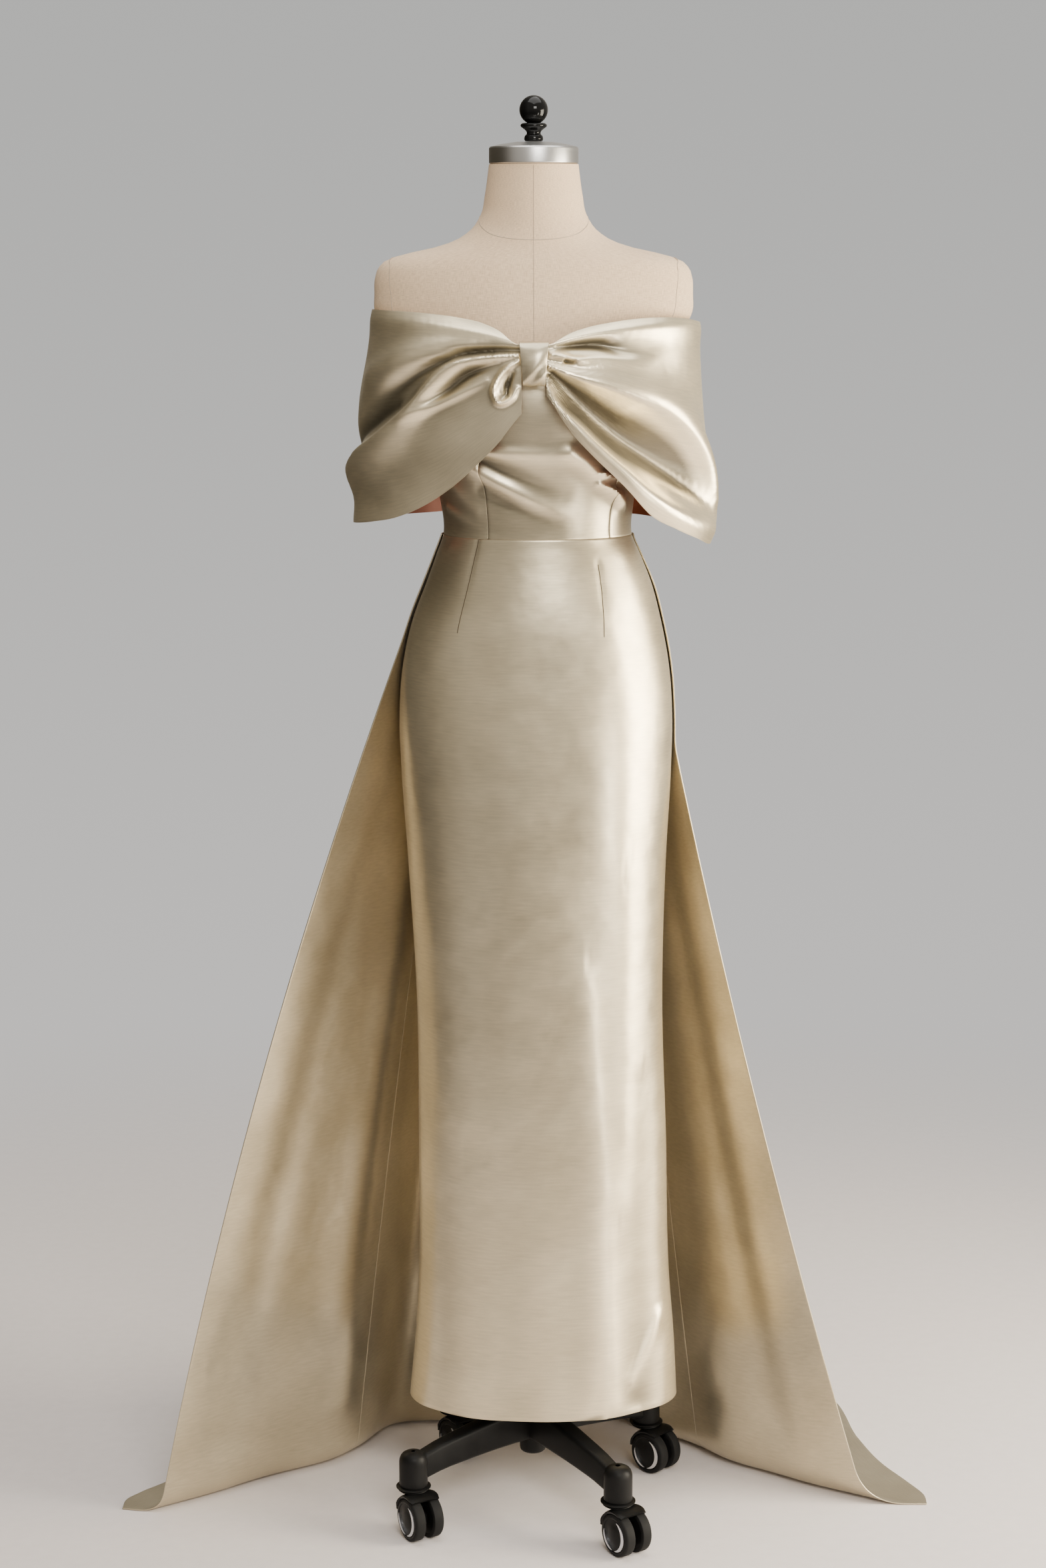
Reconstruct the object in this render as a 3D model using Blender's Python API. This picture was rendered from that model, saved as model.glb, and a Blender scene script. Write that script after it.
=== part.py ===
"""A satin column gown with a bow capelet and a train, on a limbless dress form with a caster base.

Metres, +Z up. The pieces are shaped round the pole, whose axis is the Z axis, with the front towards -Y.
At the end they all move together, so that the origin is at the bottom centre of the whole.
Angles round the figure start at the front centre: 90 degrees is the right side as seen from the front,
180 the centre back and 270 the left side."""

import math

import bmesh
import bpy
import numpy as np
from mathutils import Matrix, Vector

# Driving sizes
WALL = 0.0016
SEAM_GAP = 0.00032
FORM_EASE_WAIST = 0.0007
FORM_EASE = 0.0028
FORM_EASE_SPREAD = 0.016
WAIST_Z = 1.227
HEM_Z = 0.143
TURN_STEP = 10.0

# The gown's outside, section by section: how far it reaches from the pole to each side.
GOWN = (
    # z, left, right, front, back
    (0.143, 0.155, 0.181, 0.104, 0.100),
    (0.218, 0.148, 0.177, 0.101, 0.098),
    (0.306, 0.143, 0.170, 0.099, 0.097),
    (0.480, 0.142, 0.165, 0.098, 0.098),
    (0.651, 0.143, 0.159, 0.099, 0.104),
    (0.835, 0.153, 0.162, 0.104, 0.120),
    (0.940, 0.160, 0.167, 0.106, 0.130),
    (1.008, 0.162, 0.168, 0.106, 0.133),
    (1.065, 0.158, 0.164, 0.103, 0.128),
    (1.125, 0.145, 0.153, 0.098, 0.114),
    (1.170, 0.128, 0.141, 0.092, 0.100),
    (1.203, 0.116, 0.128, 0.087, 0.090),
    (1.227, 0.108, 0.118, 0.084, 0.085),
    (1.260, 0.110, 0.119, 0.088, 0.086),
    (1.300, 0.121, 0.127, 0.099, 0.091),
    (1.340, 0.134, 0.138, 0.112, 0.098),
    (1.380, 0.145, 0.148, 0.120, 0.104),
    (1.420, 0.154, 0.156, 0.118, 0.107),
    (1.450, 0.162, 0.163, 0.112, 0.107),
)

# The dress form above the bust. Below it, the form follows the gown's own sections.
FORM_ABOVE = (
    # z, side, front, back
    (1.428, 0.1505, 0.1115, 0.1020),
    (1.450, 0.1565, 0.1060, 0.1015),
    (1.470, 0.1770, 0.1010, 0.1015),
    (1.490, 0.1876, 0.0950, 0.1000),
    (1.510, 0.1880, 0.0890, 0.0970),
    (1.530, 0.1868, 0.0820, 0.0910),
    (1.543, 0.1810, 0.0770, 0.0840),
    (1.551, 0.1700, 0.0730, 0.0780),
    (1.558, 0.1450, 0.0690, 0.0720),
    (1.565, 0.1130, 0.0660, 0.0670),
    (1.573, 0.0910, 0.0630, 0.0630),
    (1.582, 0.0770, 0.0600, 0.0600),
    (1.600, 0.0632, 0.0565, 0.0570),
    (1.626, 0.0572, 0.0530, 0.0540),
    (1.660, 0.0525, 0.0505, 0.0515),
)
FORM_BOTTOM_Z = 0.860
FORM_ROWS_BELOW = (
    FORM_BOTTOM_Z,
    *(0.900, 0.950, 1.008, 1.065, 1.125, 1.170, 1.200),
    *(WAIST_Z, 1.260, 1.300, 1.340, 1.385),
)

# The strapless neckline under the capelet
NECKLINE = (
    # angle, z
    (0.0, 1.444),
    (50.0, 1.446),
    (90.0, 1.428),
    (180.0, 1.410),
)

# Soft creases in the bodice. The troughs only narrow the ridges, because the bodice lies on the form.
BODICE_DRAPES = (
    # angle, z, end angle, end z, bow, height, end height, width above, width below
    (-34.0, 1.328, 12.0, 1.324, 0.002, 0.0030, 0.0020, 0.008, 0.012),
    (-34.0, 1.312, 18.0, 1.256, -0.004, 0.0042, 0.0030, 0.010, 0.010),
    (-28.0, 1.326, 12.0, 1.286, 0.000, -0.0026, -0.0020, 0.009, 0.009),
    (-30.0, 1.282, 10.0, 1.250, 0.000, -0.0026, -0.0020, 0.009, 0.009),
    (18.0, 1.330, 58.0, 1.268, 0.000, 0.0030, 0.0030, 0.010, 0.010),
)

# Seams, by the angles at which each panel starts and ends
BODICE_PANELS = (
    # name, start, end
    ("bodice_centre_front", -30.0, 50.0),
    ("bodice_side_front_left", -90.0, -30.0),
    ("bodice_side_front_right", 50.0, 90.0),
    ("bodice_back_right", 90.0, 180.0),
    ("bodice_back_left", 180.0, 270.0),
)
SKIRT_PANELS = (
    # name, start, end
    ("skirt_front", -90.0, 90.0),
    ("skirt_back_right", 90.0, 180.0),
    ("skirt_back_left", 180.0, 270.0),
)
BODICE_ROWS = 8
SKIRT_ROWS = 14
SKIRT_CROWDING = 1.45
SEAM_RADIUS = 0.085
DRAPE_RUN_IN = 0.25

# The capelet's sections, before its folds
CAPE = (
    # z, left, right, front, back
    (1.215, 0.2140, 0.2120, 0.128, 0.160),
    (1.245, 0.2150, 0.2190, 0.130, 0.156),
    (1.274, 0.2100, 0.2170, 0.133, 0.150),
    (1.314, 0.2070, 0.2110, 0.135, 0.144),
    (1.346, 0.2090, 0.2050, 0.137, 0.139),
    (1.385, 0.2070, 0.2010, 0.138, 0.133),
    (1.448, 0.1960, 0.1970, 0.136, 0.121),
    (1.470, 0.1930, 0.1960, 0.127, 0.116),
    (1.493, 0.1901, 0.1945, 0.112, 0.111),
)
# Edges of each half, by the angle from the knot round to the centre back
CAPE_EDGES = {
    # angle, top z, bottom z
    -1: (
        (4.0, 1.4559, 1.377),
        (5.6, 1.4563, 1.370),
        (7.4, 1.4593, 1.362),
        (11.0, 1.4690, 1.345),
        (18.0, 1.4795, 1.320),
        (26.0, 1.4850, 1.295),
        (37.0, 1.4890, 1.270),
        (48.0, 1.4912, 1.255),
        (62.0, 1.4922, 1.247),
        (75.0, 1.4925, 1.243),
        (90.0, 1.4925, 1.241),
        (135.0, 1.4880, 1.241),
        (180.0, 1.4840, 1.242),
    ),
    1: (
        (4.0, 1.4559, 1.398),
        (5.6, 1.4563, 1.391),
        (7.4, 1.4593, 1.380),
        (11.0, 1.4665, 1.360),
        (18.0, 1.4745, 1.330),
        (26.0, 1.4795, 1.300),
        (37.0, 1.4838, 1.259),
        (48.0, 1.4850, 1.241),
        (62.0, 1.4835, 1.227),
        (75.0, 1.4800, 1.218),
        (90.0, 1.4770, 1.220),
        (135.0, 1.4800, 1.236),
        (180.0, 1.4840, 1.242),
    ),
}
CAPE_COLUMNS = 22
CAPE_ROWS = 13
CAPE_CROWDING = 1.35
CAPE_BACK_RADIUS = 0.13
CAPE_FOLDS = {
    # angle, z, end angle, end z, bow, height, end height, width above, width below, end widths above, below
    -1: (
        (4.0, 1.455, 62.0, 1.480, 0.004, 0.003, 0.004, 0.004, 0.005, 0.012, 0.016),
        (4.0, 1.449, 32.0, 1.447, 0.000, -0.003, -0.004, 0.003, 0.003, 0.007, 0.007),
        (6.0, 1.446, 57.0, 1.420, 0.012, 0.002, 0.012, 0.005, 0.004, 0.026, 0.016),
        (20.0, 1.436, 78.0, 1.345, 0.000, -0.004, -0.006, 0.006, 0.006, 0.026, 0.016),
        (4.0, 1.443, 39.0, 1.388, 0.022, 0.004, 0.016, 0.004, 0.012, 0.010, 0.034),
        (35.0, 1.398, 91.0, 1.300, -0.003, 0.014, 0.015, 0.010, 0.030, 0.012, 0.030),
        (18.0, 1.413, 37.0, 1.383, -0.004, 0.002, 0.004, 0.006, 0.006, 0.008, 0.008),
        (5.0, 1.432, 9.5, 1.398, 0.000, 0.003, 0.008, 0.004, 0.004, 0.010, 0.008),
        (112.0, 1.470, 106.0, 1.250, 0.004, 0.002, 0.007, 0.014, 0.014, 0.020, 0.020),
        (146.0, 1.470, 152.0, 1.250, 0.003, 0.002, 0.006, 0.014, 0.014, 0.022, 0.022),
    ),
    1: (
        (4.0, 1.455, 60.0, 1.476, 0.004, 0.003, 0.004, 0.004, 0.005, 0.010, 0.014),
        (8.0, 1.449, 33.0, 1.445, 0.007, -0.003, -0.008, 0.004, 0.005, 0.010, 0.012),
        (4.0, 1.444, 12.5, 1.438, 0.000, 0.004, 0.008, 0.005, 0.005, 0.009, 0.009),
        (4.0, 1.434, 58.0, 1.362, 0.001, 0.004, 0.014, 0.010, 0.004, 0.040, 0.012),
        (56.0, 1.364, 80.0, 1.268, 0.005, 0.013, 0.008, 0.030, 0.012, 0.020, 0.014),
        (12.0, 1.405, 68.0, 1.300, -0.004, -0.004, -0.010, 0.006, 0.006, 0.028, 0.024),
        (4.5, 1.420, 40.0, 1.286, -0.010, 0.005, 0.010, 0.005, 0.010, 0.010, 0.026),
        (38.0, 1.290, 76.0, 1.246, -0.003, 0.009, 0.008, 0.012, 0.022, 0.012, 0.022),
        (108.0, 1.470, 104.0, 1.235, 0.004, 0.002, 0.006, 0.014, 0.014, 0.020, 0.020),
        (150.0, 1.470, 146.0, 1.250, 0.003, 0.002, 0.007, 0.014, 0.014, 0.022, 0.022),
    ),
}
FOLD_RADIUS = 0.17
DRAPE_RADIUS = 0.115

# The bow's knot: a band wound round the gathered centre
KNOT_CENTRE = (0.0, -0.1370, 1.4340)
KNOT_HALF_TOP = 0.0170
KNOT_HALF_BOTTOM = 0.0126
KNOT_HEIGHT = 0.0253
KNOT_DEPTH = 0.0160
KNOT_WRAP_TOP = 104.0
KNOT_WRAP_BOTTOM = 80.0
KNOT_ROUNDING = 0.30
KNOT_COLUMNS = 6
KNOT_ROWS = 14

# The train: where its top lies on the hips, the line in which it meets the floor, and its hem
TRAIN_START = 95.0
TRAIN_END = 267.0
TRAIN_EASE = 0.0004
TRAIN_SEAM_GAP = 0.0004
TRAIN_HIP_EASE = 0.0026
TRAIN_HIP_SOFTNESS = 0.014
TRAIN_HIP_DROP = 0.08
TRAIN_BOW_LEFT = 0.33
TRAIN_BOW_RIGHT = -0.21
TRAIN_FLOOR = (
    # along, x, y where the wall meets the floor, x, y of the hem, bend
    (0.00, -0.468, -0.046, -0.517, -0.036, 0.030),
    (0.02, -0.448, -0.033, -0.516, -0.012, 0.030),
    (0.05, -0.417, -0.012, -0.500, 0.014, 0.030),
    (0.10, -0.366, 0.022, -0.464, 0.058, 0.032),
    (0.17, -0.297, 0.074, -0.446, 0.150, 0.035),
    (0.26, -0.226, 0.136, -0.425, 0.330, 0.040),
    (0.38, -0.138, 0.214, -0.280, 0.580, 0.046),
    (0.50, 0.002, 0.252, 0.000, 0.720, 0.050),
    (0.62, 0.134, 0.218, 0.280, 0.580, 0.046),
    (0.74, 0.214, 0.142, 0.410, 0.340, 0.040),
    (0.84, 0.277, 0.076, 0.434, 0.190, 0.036),
    (0.91, 0.334, 0.030, 0.458, 0.100, 0.038),
    (0.95, 0.372, 0.006, 0.482, 0.046, 0.044),
    (0.98, 0.402, -0.012, 0.498, 0.004, 0.050),
    (1.00, 0.420, -0.022, 0.498, -0.022, 0.054),
)
TRAIN_CONES = (
    # along, half-width, reach at the floor
    (0.13, 0.050, 0.006),
    (0.215, 0.045, -0.008),
    (0.34, 0.050, 0.022),
    (0.44, 0.050, -0.012),
    (0.55, 0.050, 0.024),
    (0.66, 0.045, -0.012),
    (0.79, 0.050, -0.005),
    (0.88, 0.045, 0.004),
)
TRAIN_GORES = (
    # name, start, end along the train
    ("train_side_left", 0.00, 0.25),
    ("train_back_left", 0.25, 0.50),
    ("train_back_right", 0.50, 0.75),
    ("train_side_right", 0.75, 1.00),
)
TRAIN_COLUMNS = 7
TRAIN_ROWS_STANDING = 13
TRAIN_ROWS_BEND = 3
TRAIN_ROWS_LYING = 3
TRAIN_CROWDING = 1.4
TRAIN_BEND_SHARE = 0.9
TRAIN_LEVEL_ROWS = 0.5
SLOPE_STEP = 1e-4

# The neck cap and the finial, turned: radius and height of each corner
CAP_RADIUS = 0.0525
CAP_SIDES = 32
CAP_PROFILE = (
    # radius, z
    (0.0, 1.6603),
    (0.0510, 1.6603),
    (CAP_RADIUS, 1.6618),
    (CAP_RADIUS, 1.6785),
    (0.0512, 1.6803),
    (0.0300, 1.6848),
    (0.0, 1.6862),
)
FINIAL_PROFILE = (
    # radius, z
    (0.0, 1.6865),
    (0.0096, 1.6865),
    (0.0112, 1.6890),
    (0.0108, 1.6925),
    (0.0082, 1.6945),
    (0.0090, 1.6985),
    (0.0128, 1.7015),
    (0.0158, 1.7045),
    (0.0140, 1.7070),
)
FINIAL_BALL_RADIUS = 0.0168
FINIAL_BALL_Z = 1.7225
FINIAL_BALL_STEPS = 6
FINIAL_BALL_START = -62.0

# The stand
POLE_RADIUS = 0.0125
HUB_RADIUS = 0.0165
HUB_BOTTOM_Z = 0.064
HUB_TOP_Z = 0.132
HUB_ROUNDING = 0.004
ARM_REACH = 0.180
ARM_STATIONS = (
    # along, half-width, bottom z, top z
    (0.004, 0.0150, 0.0862, 0.1290),
    (0.060, 0.0145, 0.0840, 0.1240),
    (0.110, 0.0135, 0.0798, 0.1155),
    (0.145, 0.0125, 0.0752, 0.1085),
    (0.174, 0.0115, 0.0680, 0.1000),
)
ARM_BEVEL = 0.005
SOCKET_BOTTOM_Z = 0.0625
SOCKET_PROFILE = (
    # radius, z
    (0.0, SOCKET_BOTTOM_Z),
    (0.0176, SOCKET_BOTTOM_Z),
    (0.0176, 0.0930),
    (0.0158, 0.1005),
    (0.0100, 0.1050),
    (0.0, 0.1062),
)
BORE_RADIUS = 0.0060
BORE_TOP_Z = 0.0880
CASTERS = (
    # name, turn of the arm, turn of the trail
    ("front_left", 215.0, 300.0),
    ("front_right", 305.0, 305.0),
    ("back_right", 35.0, 316.0),
    ("back_left", 125.0, 305.0),
)
WHEEL_SIDES = 20
WHEEL_RADIUS = 0.0268
AXLE_Z = WHEEL_RADIUS * math.cos(math.pi / WHEEL_SIDES)
TRAIL = 0.0180
WHEEL_PROFILE = (
    # radius, distance from the middle, one side
    (0.0040, 0.0),
    (0.0040, 0.0058),
    (0.0256, 0.0058),
    (WHEEL_RADIUS, 0.0072),
    (WHEEL_RADIUS, 0.0172),
    (0.0250, 0.0196),
    (0.0100, 0.0188),
    (0.0, 0.0188),
)
HOOD_INNER = 0.0286
HOOD_OUTER = 0.0314
HOOD_HALF_WIDTH = 0.0205
HOOD_START = 62.0
HOOD_END = 172.0
HOOD_STEPS = 7
WEB_HALF_WIDTH = 0.0040
BOSS_RADIUS = 0.0100
WEB_OVERLAP = 0.002
BOSS_BORE = 0.0046
STEM_RADIUS = 0.0054
STEM_TOP_Z = 0.0860
AXLE_END = 0.0200
COLLAR_PROFILE = (
    # radius, z
    (0.0, 0.0552),
    (0.0130, 0.0552),
    (0.0190, 0.0568),
    (0.0190, 0.0584),
    (0.0215, 0.0588),
    (0.0215, 0.0620),
)
TURNED_SIDES = 16
BORE_SIDES = 10

# The hidden zip at the centre back: its slider and the tab that swings on it
ZIP_Z = 1.4020
SLIDER_WIDTH = 0.0070
SLIDER_HEIGHT = 0.0090
SLIDER_DEPTH = 0.0035
SLIDER_BEVEL = 0.0006
TAB_WIDTH = 0.0060
TAB_LENGTH = 0.0170
TAB_THICKNESS = 0.0014
TAB_BEVEL = 0.0004
TAB_ABOVE_HINGE = 0.0008
ZIP_GAP = 0.0006
TAB_GAP = 0.0004


def smooth_table(rows, at):
    """Reads a table's columns at places along its first column, on a smooth curve through its rows."""
    rows = np.array(rows, float)
    key, values = rows[:, 0], rows[:, 1:]
    slopes = np.gradient(values, key, axis=0)
    at = np.clip(np.asarray(at, float), key[0], key[-1])
    low = np.clip(np.searchsorted(key, at, side="right") - 1, 0, len(key) - 2)
    span = (key[low + 1] - key[low])[..., None]
    t = (at - key[low])[..., None] / span
    start, end = values[low], values[low + 1]
    return (
        start * (1 + 2 * t) * (1 - t) ** 2
        + slopes[low] * span * t * (1 - t) ** 2
        + end * t * t * (3 - 2 * t)
        - slopes[low + 1] * span * t * t * (1 - t)
    )


def ease_in(value):
    """A smooth step from 0 to 1."""
    value = np.clip(value, 0.0, 1.0)
    return value * value * (3 - 2 * value)


def around(sections, angle, z, out=0.0):
    """Points at an angle round a table of sections, moved out level by a distance."""
    reach = smooth_table(sections, z)
    turn = np.radians(angle)
    across, along = np.sin(turn), -np.cos(turn)
    side = np.where(across > 0, reach[..., 1], reach[..., 0]) + out
    depth = np.where(along < 0, reach[..., 2], reach[..., 3]) + out
    return np.stack([side * across, depth * along, np.broadcast_to(z, side.shape)], axis=-1)


def folds_at(folds, angle, z, radius):
    """Height of the folds at an angle and z. Each runs along a bowed line and falls away beside it."""
    total = np.zeros(np.broadcast(angle, z).shape)
    for start_angle, start_z, end_angle, end_z, bow, height, end_height, *widths in folds:
        above, below, end_above, end_below = widths if len(widths) == 4 else widths * 2
        start = np.array([math.radians(start_angle) * radius, start_z])
        chord = np.array([math.radians(end_angle) * radius, end_z]) - start
        length = np.linalg.norm(chord)
        chord = chord / length
        across = np.radians(angle) * radius - start[0]
        up = z - start[1]
        along = (across * chord[0] + up * chord[1]) / length
        side = abs(chord[0]) * up - math.copysign(1.0, chord[0]) * across * chord[1]
        held = np.clip(along, 0.0, 1.0)
        side = side - bow * 4 * held * (1 - held)
        upper = above + (end_above - above) * held
        lower = below + (end_below - below) * held
        width = np.where(side > 0, upper, lower)
        beyond = np.maximum(np.maximum(-along, along - 1), 0.0) * length
        distance = np.sqrt((side / width) ** 2 + (beyond / width) ** 2)
        total += (height + (end_height - height) * held) * np.exp(-distance * distance)
    return total


def material(name, colour, roughness, metallic=0.0):
    """A Principled material."""
    made = bpy.data.materials.new(name)
    made.use_nodes = True
    shader = made.node_tree.nodes["Principled BSDF"]
    shader.inputs["Base Color"].default_value = (*colour, 1.0)
    shader.inputs["Roughness"].default_value = roughness
    shader.inputs["Metallic"].default_value = metallic
    return made


def add_object(name, mesh, finish):
    """An object in the scene, with its material."""
    made = bpy.data.objects.new(name, mesh)
    bpy.context.collection.objects.link(made)
    mesh.materials.clear()
    mesh.materials.append(finish)
    return made


def mesh_of(name, work, smooth_angle=40.0):
    """Ends a bmesh as a mesh with its faces pointing out."""
    bmesh.ops.recalc_face_normals(work, faces=work.faces)
    mesh = bpy.data.meshes.new(name)
    work.to_mesh(mesh)
    work.free()
    mesh.shade_smooth()
    mesh.set_sharp_from_angle(angle=math.radians(smooth_angle))
    return mesh


def wall_mesh(name, outer, inner):
    """A closed wall between two grids of points, rows by columns, with a rim all round."""
    work = bmesh.new()
    grids = []
    for points in (outer, inner):
        grids.append([[work.verts.new(point) for point in row] for row in points])
    rows, columns = outer.shape[0], outer.shape[1]
    for grid in grids:
        for i in range(rows - 1):
            for j in range(columns - 1):
                low, high = grid[i][j], grid[i + 1][j + 1]
                work.faces.new((low, grid[i][j + 1], high))
                work.faces.new((low, high, grid[i + 1][j]))
    border = [(0, j) for j in range(columns)]
    border += [(i, columns - 1) for i in range(1, rows)]
    border += [(rows - 1, j) for j in range(columns - 2, -1, -1)]
    border += [(i, 0) for i in range(rows - 2, 0, -1)]
    for (i, j), (k, m) in zip(border, border[1:] + border[:1]):
        work.faces.new((grids[0][i][j], grids[0][k][m], grids[1][k][m], grids[1][i][j]))
    return mesh_of(name, work)


def turned_mesh(name, profile, sides, axis=(0, 0, 1), turn=0.0):
    """Spins a profile of radius and distance along the axis into a closed solid."""
    work = bmesh.new()
    along = Vector(axis)
    out = Vector((1, 0, 0))
    points = [work.verts.new(out * radius + along * place) for radius, place in profile]
    edges = [work.edges.new(pair) for pair in zip(points, points[1:])]
    if profile[0][0] > 0.0:
        edges.append(work.edges.new((points[-1], points[0])))
    bmesh.ops.spin(
        work,
        geom=points + edges,
        cent=(0, 0, 0),
        axis=axis,
        angle=math.tau,
        steps=sides,
        use_merge=True,
    )
    bmesh.ops.remove_doubles(work, verts=work.verts, dist=1e-6)
    bmesh.ops.rotate(work, verts=work.verts, matrix=Matrix.Rotation(turn, 3, along))
    return mesh_of(name, work)


def union(name, meshes, cutter=None):
    """Joins meshes into one body and cuts another mesh from it."""
    solids = meshes + ([cutter] if cutter else [])
    helpers = [bpy.data.objects.new(f"{name}_helper", mesh) for mesh in solids]
    for helper in helpers:
        bpy.context.collection.objects.link(helper)
    for index, helper in enumerate(helpers[1:], start=1):
        joined = helpers[0].modifiers.new(f"join_{index}", "BOOLEAN")
        joined.object = helper
        joined.operation = "DIFFERENCE" if cutter and helper is helpers[-1] else "UNION"
    graph = bpy.context.evaluated_depsgraph_get()
    made = bpy.data.meshes.new_from_object(helpers[0].evaluated_get(graph))
    made.name = name
    for helper in helpers:
        bpy.data.objects.remove(helper)
    work = bmesh.new()
    work.from_mesh(made)
    bmesh.ops.dissolve_degenerate(work, dist=1e-6, edges=work.edges)
    work.to_mesh(made)
    work.free()
    made.set_sharp_from_angle(angle=math.radians(40.0))
    return made


def panel_angles(start, end):
    """The columns of a panel, with half a seam gap off each side."""
    trim = math.degrees(SEAM_GAP / 2 / SEAM_RADIUS)
    angles = np.linspace(start, end, round((end - start) / TURN_STEP) + 1)
    angles[0] += trim
    angles[-1] -= trim
    return angles


def bodice(satin):
    """Five panels from the waist seam to the strapless neckline, on the form."""
    for name, start, end in BODICE_PANELS:
        angle = panel_angles(start, end)[None, :]
        wrapped = 180 - abs(180 - angle % 360)
        neckline = smooth_table(NECKLINE, wrapped)[..., 0]
        rise = np.linspace(0.0, 1.0, BODICE_ROWS + 1)[:, None]
        bottom = WAIST_Z + SEAM_GAP / 2
        z = bottom + (neckline - bottom) * rise
        turned = (angle + 180) % 360 - 180
        raised = folds_at(BODICE_DRAPES, turned, z, DRAPE_RADIUS) * ease_in(rise / DRAPE_RUN_IN)
        raised = np.maximum(raised, 0.0)
        outer = around(GOWN, angle, z, raised)
        inner = around(GOWN, angle, z, raised - WALL)
        add_object(name, wall_mesh(name, outer, inner), satin)


def skirt(satin):
    """The straight skirt: a front with two darts, and two backs."""
    for name, start, end in SKIRT_PANELS:
        angle = panel_angles(start, end)[None, :]
        drop = np.linspace(0.0, 1.0, SKIRT_ROWS + 1)[:, None] ** SKIRT_CROWDING
        top = WAIST_Z - SEAM_GAP / 2
        z = top + (HEM_Z - top) * drop + 0.0 * angle
        outer = around(GOWN, angle, z)
        inner = around(GOWN, angle, z, -WALL)
        add_object(name, wall_mesh(name, outer, inner), satin)


def form_torso(linen):
    """The limbless torso, from under the hips to the neck."""
    z = np.array(list(FORM_ROWS_BELOW) + [row[0] for row in FORM_ABOVE])
    reach = np.empty((len(z), 4))
    low = z[: len(FORM_ROWS_BELOW), None]
    near = np.exp(-(((low - WAIST_Z) / FORM_EASE_SPREAD) ** 2))
    inside = smooth_table(GOWN, low[:, 0]) - WALL - FORM_EASE + (FORM_EASE - FORM_EASE_WAIST) * near
    reach[: len(inside)] = np.stack([inside[:, 0], inside[:, 0], inside[:, 2], inside[:, 3]], axis=-1)
    above = np.array(FORM_ABOVE)
    reach[len(inside) :] = np.stack([above[:, 1], above[:, 1], above[:, 2], above[:, 3]], axis=-1)
    work = bmesh.new()
    rings = []
    turns = np.radians(np.arange(0.0, 360.0, TURN_STEP))
    for height, (left, right, front, back) in zip(z, reach):
        ring = []
        for turn in turns:
            across, along = math.sin(turn), -math.cos(turn)
            side = right if across > 0 else left
            depth = front if along < 0 else back
            ring.append(work.verts.new((side * across, depth * along, height)))
        rings.append(ring)
    count = len(turns)
    for low, high in zip(rings, rings[1:]):
        for j in range(count):
            k = (j + 1) % count
            work.faces.new((low[j], low[k], high[k]))
            work.faces.new((low[j], high[k], high[j]))
    work.faces.new(rings[0])
    work.faces.new(rings[-1])
    add_object("form_torso", mesh_of("form_torso", work), linen)


def cape_half(name, side, satin):
    """One half of the capelet, from the knot to the centre back, with the bow's folds in it."""
    step = np.linspace(0.0, 1.0, CAPE_COLUMNS + 1)[None, :]
    start = CAPE_EDGES[side][0][0]
    trim = math.degrees(SEAM_GAP / 2 / CAPE_BACK_RADIUS)
    angle = start + (180.0 - trim - start) * step**CAPE_CROWDING
    edges = smooth_table(CAPE_EDGES[side], angle)
    drop = np.linspace(0.0, 1.0, CAPE_ROWS + 1)[:, None]
    z = edges[..., 0] + (edges[..., 1] - edges[..., 0]) * drop
    raised = folds_at(CAPE_FOLDS[side], angle + 0.0 * z, z, FOLD_RADIUS)
    outer = around(CAPE, side * angle, z, raised)
    inner = around(CAPE, side * angle, z, raised - WALL)
    add_object(name, wall_mesh(name, outer, inner), satin)


def knot(satin):
    """The band round the bow's centre, rolled over at its top and bottom and open at its sides."""
    across = np.linspace(-1.0, 1.0, KNOT_COLUMNS + 1)[None, :]
    wrap = np.radians(np.linspace(KNOT_WRAP_TOP, -KNOT_WRAP_BOTTOM, KNOT_ROWS + 1))[:, None]
    middle = (KNOT_HALF_TOP + KNOT_HALF_BOTTOM) / 2
    half = middle + (KNOT_HALF_TOP - KNOT_HALF_BOTTOM) / 2 * np.sin(wrap)
    barrel = 1.0 - KNOT_ROUNDING * across**2 * np.cos(wrap) ** 2
    walls = []
    for inset in (0.0, WALL):
        depth = KNOT_CENTRE[1] - (KNOT_DEPTH * barrel - inset) * np.cos(wrap)
        height = KNOT_CENTRE[2] + (KNOT_HEIGHT - inset) * np.sin(wrap) + 0.0 * across
        walls.append(np.stack([half * across, depth, height], axis=-1))
    add_object("bow_knot", wall_mesh("bow_knot", *walls), satin)


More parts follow.
